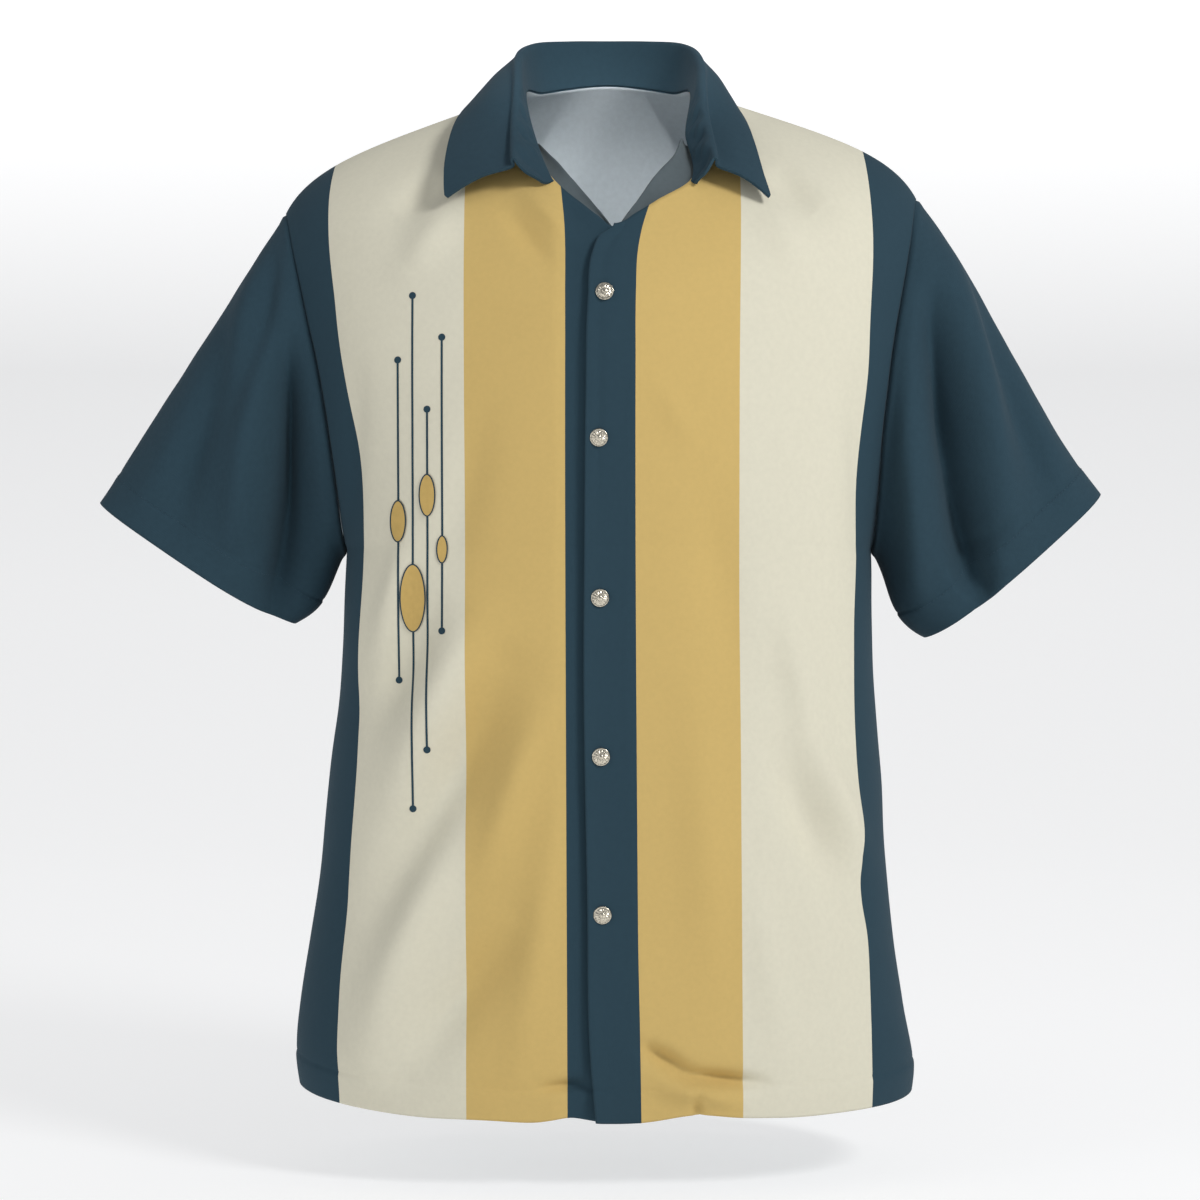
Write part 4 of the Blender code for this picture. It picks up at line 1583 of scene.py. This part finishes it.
@dataclass
class Facing:
    """The strip whose wrong side shows behind one side of the open neck, in a darker copy of the inside colour as
    painted shade.
    """

    body: BodyForm
    side: Side
    rise: Table = (
        # angle, rise on the wearer's right, rise on the wearer's left
        (3.0, 0.8, 1.2),
        (12.0, 4.5, 8.0),
        (24.0, 9.0, 17.0),
        (34.0, 12.5, 24.0),
        (44.0, 13.0, 25.5),
        (53.0, 8.0, 18.0),
        (61.0, 2.0, 7.0),
    )
    lean: tuple[float, float, float] = (-0.42, 0.40, 0.81)
    thickness: float = 1.0
    clearance: float = 1.0
    depth: float = 0.09
    curl: float = 1.2

    def build(self, panels: Panels) -> bpy.types.Object:
        """Build the strip behind its front.

        Args:
            panels: The fronts, for their overlap.

        Returns:
            The strip.
        """
        sign = self.side.value
        angle = np.linspace(self.rise[0][0], self.rise[-1][0], 61)
        rise = curve(column(self.rise, 0), column(self.rise, 1 if sign < 0 else 2), angle)
        angle = angle * sign
        lean = unit(np.array([self.lean[0] * sign, self.lean[1], self.lean[2]]))
        top = np.full_like(angle, 2.0)
        place = self.body.neck_line(angle)[..., 0]
        if sign < 0:
            extra = panels.overlap_drop * soft_step(*panels.under_ramp, place)
        else:
            extra = (panels.overlap_drop + CLOTH) * soft_step(42.0, 24.0, place)
        sink = (CLOTH + self.clearance + extra)[:, None]
        normal = self.body.normal(self.body.plain, angle, top)
        edge = self.body.neck_line(angle) - normal * sink
        rows = []
        for part in np.linspace(1.0, 0.0, 8)[:-1]:
            level = top - self.depth * part
            inward = self.body.normal(self.body.plain, angle, level)
            rows.append(self.body.plain(angle, level) - inward * sink)
        for part in np.linspace(0.0, 1.0, 10):
            curl = self.curl * np.sin(part * math.pi)
            rows.append(edge + lean * (rise * part)[:, None] - normal * curl)
        points = np.stack(rows)
        if sign < 0:
            points = points[:, ::-1]
        # The strip takes the inside cloth's colour, darkened as painted shade.
        piece = cloth_mesh(f"facing_{self.side.word}_strip", points, [SHADED_FACING.make()])
        thicken(piece, self.thickness)
        return dress(piece, "cloth_inside", f"facing_{self.side.word}")


# ==== buttons ===========================================================================

@dataclass
class Button:
    """A domed metal button with a rim, radial ribs and a raised middle."""

    body: BodyForm
    index: int
    x: float
    z: float
    radius: float = 6.3
    ribs: int = 14
    steps: int = 112
    profile: Table = (
        # share of the radius, height, rib height
        (0.90, 0.0, 0.0), (0.99, 0.25, 0.0), (1.0, 0.7, 0.0), (0.97, 1.1, 0.0),
        (0.91, 1.28, 0.0), (0.85, 1.18, 0.0), (0.80, 1.11, 0.05), (0.66, 1.55, 0.20),
        (0.48, 1.95, 0.18), (0.34, 2.10, 0.06), (0.28, 2.04, 0.0), (0.22, 2.35, 0.0),
        (0.12, 2.55, 0.0), (0.0, 2.6, 0.0),
    )

    def build(self) -> bpy.types.Object:
        """Turn the profile, raise the ribs and set the button on the cloth.

        Returns:
            The button.
        """
        made = bmesh.new()
        verts = [made.verts.new((self.radius * share, 0.0, height))
                 for share, height, _ in self.profile]
        edges = [made.edges.new(pair) for pair in zip(verts, verts[1:])]
        bmesh.ops.spin(made, geom=verts + edges, cent=(0.0, 0.0, 0.0),
                       axis=(0.0, 0.0, 1.0), angle=2.0 * math.pi, steps=self.steps,
                       use_merge=True)
        bmesh.ops.remove_doubles(made, verts=made.verts, dist=1e-4)
        heights = {round(row[1], 3): row[2] for row in self.profile}
        for vert in made.verts:
            rib = heights.get(round(vert.co.z, 3), 0.0)
            turn = math.atan2(vert.co.y, vert.co.x)
            swirl = 0.5 * math.hypot(vert.co.x, vert.co.y) / self.radius
            vert.co.z += rib * math.cos(self.ribs * (turn + swirl))
        base = [edge for edge in made.edges if edge.is_boundary]
        bmesh.ops.contextual_create(made, geom=base)
        bmesh.ops.recalc_face_normals(made, faces=made.faces)
        for face in made.faces:
            face.smooth = len(face.verts) < 5
        angle, level = self.body.find([0, 2], np.array([self.x, self.z]), np.array(0.0),
                                      np.array(1.0 if self.z > self.body.armpit_z
                                               else 0.5))
        centre = self.body.cloth(angle, level)
        out = Vector(self.body.normal(self.body.plain, angle, level))
        side = Vector((0.0, 0.0, 1.0)).cross(out).normalized()
        place = Matrix((side, out.cross(side), out)).transposed().to_4x4()
        place.translation = Vector(centre) + out * 0.5
        bmesh.ops.transform(made, matrix=Matrix.Scale(MM, 4) @ place, verts=made.verts)
        piece = finish_mesh(f"button_{self.index}_metal", made, [BUTTON.make()])
        return dress(piece, "button_metal", f"button_{self.index}")


# ==== studio ============================================================================

@dataclass
class Studio:
    """Pale floor and backdrop, soft lights and the camera."""

    distance: float = 2.2
    eye: tuple[float, float] = (-0.0051, -0.3734)
    seen_width: float = 0.882
    lamps: tuple[tuple[str, Place, float, float, Place], ...] = (
        # name, place, size, power, aim
        ("key", (1.8, -1.8, 1.3), 0.9, 50.0, (0.0, 0.0, -0.35)),
        ("fill", (-2.3, -1.4, 0.3), 1.6, 11.0, (0.0, 0.0, -0.35)),
        ("wall", (0.0, 0.9, 2.1), 2.6, 8.0, (0.0, 4.6, 0.2)),
    )
    sweep: float = 2.5
    front_edge: float = -9.0
    flat_length: float = 11.2
    flat_share: float = 0.6
    half_width: float = 9.0

    def backdrop(self) -> None:
        """Sweep a floor up into a wall behind the shirt."""
        made = bmesh.new()
        grid = bmesh.ops.create_grid(made, x_segments=2, y_segments=60, size=1.0)
        for vert in grid["verts"]:
            run = (vert.co.y + 1.0) * 0.5
            depth = self.front_edge + self.flat_length * min(run / self.flat_share, 1.0)
            rise = max(0.0, run - self.flat_share) / (1.0 - self.flat_share)
            turn = rise * math.pi * 0.5
            vert.co = (vert.co.x * self.half_width, depth + self.sweep * math.sin(turn),
                       PAPER.low + self.sweep * (1.0 - math.cos(turn)))
        for face in made.faces:
            face.smooth = True
        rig.stage(finish_mesh("studio_floor", made, [PAPER.make()]))

    def hang(self, name: str, data: bpy.types.Light, place: Place, aim: Place) -> None:
        """Hang a lamp in the studio.

        Args:
            name: The lamp's name.
            data: What it is.
            place: Where it hangs.
            aim: What it looks at.
        """
        hung = bpy.data.objects.new(name, data)
        hung.location = place
        look = Vector(aim) - Vector(place)
        hung.rotation_euler = look.to_track_quat("-Z", "Y").to_euler()
        bpy.context.scene.collection.objects.link(hung)

    def neck_lamp(self) -> None:
        """Light the inside of the back through the open neck."""
        data = bpy.data.lights.new("neck", "SPOT")
        data.energy = 20.0
        data.spot_size = math.radians(13.0)
        data.spot_blend = 0.7
        data.shadow_soft_size = 0.04
        self.hang("neck", data, (0.0, -0.62, 0.42), (0.003, 0.07, -0.045))

    def air(self) -> None:
        """Fill the studio with a faint, even light."""
        world = bpy.data.worlds.new("studio_air")
        world.use_nodes = True
        air = world.node_tree.nodes["Background"]
        air.inputs["Color"].default_value = (0.93, 0.95, 1.0, 1.0)
        air.inputs["Strength"].default_value = 0.34
        bpy.context.scene.world = world
        bpy.context.scene.view_settings.view_transform = "Standard"

    def camera(self) -> None:
        """Set up the camera, level and straight in front."""
        data = bpy.data.cameras.new("camera")
        data.sensor_width = 36.0
        data.lens = data.sensor_width * self.distance / self.seen_width
        camera = bpy.data.objects.new("camera", data)
        camera.location = (self.eye[0], -self.distance, self.eye[1])
        camera.rotation_euler = (math.pi / 2.0, 0.0, 0.0)
        bpy.context.scene.collection.objects.link(camera)
        bpy.context.scene.camera = camera

    def build(self) -> None:
        """Build the backdrop, the lamps and the camera."""
        self.backdrop()
        for name, place, size, power, aim in self.lamps:
            data = bpy.data.lights.new(name, "AREA")
            data.shape = "DISK"
            data.size = size
            data.energy = power
            self.hang(name, data, place, aim)
        self.neck_lamp()
        self.air()
        self.camera()


# ==== the shirt =========================================================================

@dataclass
class Shirt:
    """The whole garment."""

    body: BodyForm = field(default_factory=BodyForm)
    right_cuff: tuple[float, ...] = (-371.5, -301.0, -229.0, -391.0, 39.0, 6.0)
    left_cuff: tuple[float, ...] = (361.5, -295.0, 234.0, -401.0, 39.0, 6.0)
    right_folds: Table = (
        # side, first end x and z, second end x and z, width, height
        (-1, -221.0, -190.0, -232.0, -398.0, 17.0, -40.0),
        (-1, -205.0, -260.0, -210.0, -350.0, 8.0, -9.0),
        (-1, -232.0, -95.0, -268.0, -245.0, 10.0, -8.0),
        (-1, -250.0, -120.0, -268.0, -210.0, 11.0, 5.0),
        (-1, -251.0, -200.0, -272.0, -350.0, 13.0, 8.0),
        (-1, -276.0, -190.0, -312.0, -320.0, 12.0, -8.0),
        (-1, -300.0, -240.0, -345.0, -312.0, 13.0, 3.0),
        (-1, -246.0, -330.0, -290.0, -352.0, 10.0, -2.0),
        (1, -215.0, -180.0, -250.0, -370.0, 18.0, -7.0),
        (1, -250.0, -150.0, -310.0, -300.0, 20.0, 4.0),
    )
    left_folds: Table = (
        (-1, 231.0, -160.0, 262.0, -352.0, 14.0, -30.0),
        (-1, 214.0, -230.0, 228.0, -385.0, 10.0, 8.0),
        (-1, 254.0, -300.0, 268.0, -380.0, 13.0, -16.0),
        (-1, 250.0, -120.0, 292.0, -320.0, 12.0, 9.0),
        (-1, 272.0, -140.0, 318.0, -300.0, 12.0, -9.0),
        (-1, 300.0, -210.0, 342.0, -300.0, 12.0, 3.0),
        (-1, 258.0, -345.0, 292.0, -316.0, 5.0, -3.6),
        (-1, 244.0, -352.0, 262.0, -378.0, 4.5, 2.8),
        (-1, 270.0, -352.0, 276.0, -372.0, 4.0, -2.4),
        (1, 218.0, -180.0, 255.0, -370.0, 18.0, -7.0),
        (1, 255.0, -150.0, 310.0, -300.0, 20.0, 4.0),
    )
    buttons: Table = (
        # x, z
        (-1.9, -160.0), (-5.8, -261.0), (-5.1, -372.0), (-4.4, -482.0), (-3.4, -591.5),
    )

    def build(self) -> None:
        armholes = {side: Armhole(self.body, side) for side in Side}
        panels = Panels(self.body, armholes)
        left, right = panels.front(Side.LEFT), panels.front(Side.RIGHT)
        back = panels.back()
        prints = PrintedLines(self.body).build()
        hem_line = panels.hem_stitches()
        sleeves = {}
        for side, cuff, folds in ((Side.RIGHT, self.right_cuff, self.right_folds),
                                  (Side.LEFT, self.left_cuff, self.left_folds)):
            sleeve = Sleeve(self.body, armholes[side], cuff, folds)
            sleeves[side] = sleeve.build(), sleeve.cuff_stitches()
        collar = Collar(self.body).build()
        facings = [Facing(self.body, side).build(panels) for side in Side]
        for index, (x, z) in enumerate(self.buttons, start=1):
            Button(self.body, index, x, z).build()
        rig.sheet(left, flat=(0.275, 0.735), held="hung", area=0.190,
                 rests_on=["back", "collar"])
        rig.sheet(right, flat=(0.280, 0.735), held="hung", area=0.193,
                 rests_on=["back", "collar"], with_pieces=prints)
        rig.sheet(back, flat=(0.540, 0.765), held="hung", area=0.390,
                 rests_on=["collar"], with_pieces=[hem_line])
        for side in Side:
            tube, line = sleeves[side]
            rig.sheet(tube, flat=(0.480, 0.260), held="hung", area=0.076,
                     rests_on=["back"], with_pieces=[line])
        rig.sheet(collar, flat=(0.440, 0.115), held="folded", area=0.037,
                 rests_on=["back"])
        for strip in facings:
            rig.sheet(strip, flat=(0.115, 0.056), held="hung", area=0.0044,
                     rests_on=["collar"])


def main() -> None:
    """Build the shirt and the studio, and note both boxes."""
    logging.basicConfig(level=logging.INFO, format="%(message)s")
    Shirt().build()
    Studio().build()
    boxes = {"cad": [list(map(float, corner)) for corner in CAD_BOX],
             "visual": [list(map(float, corner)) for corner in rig.bounds()]}
    with open("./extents.json", "w", encoding="utf-8") as file:
        json.dump(boxes, file)


if __name__ == "__main__":
    main()
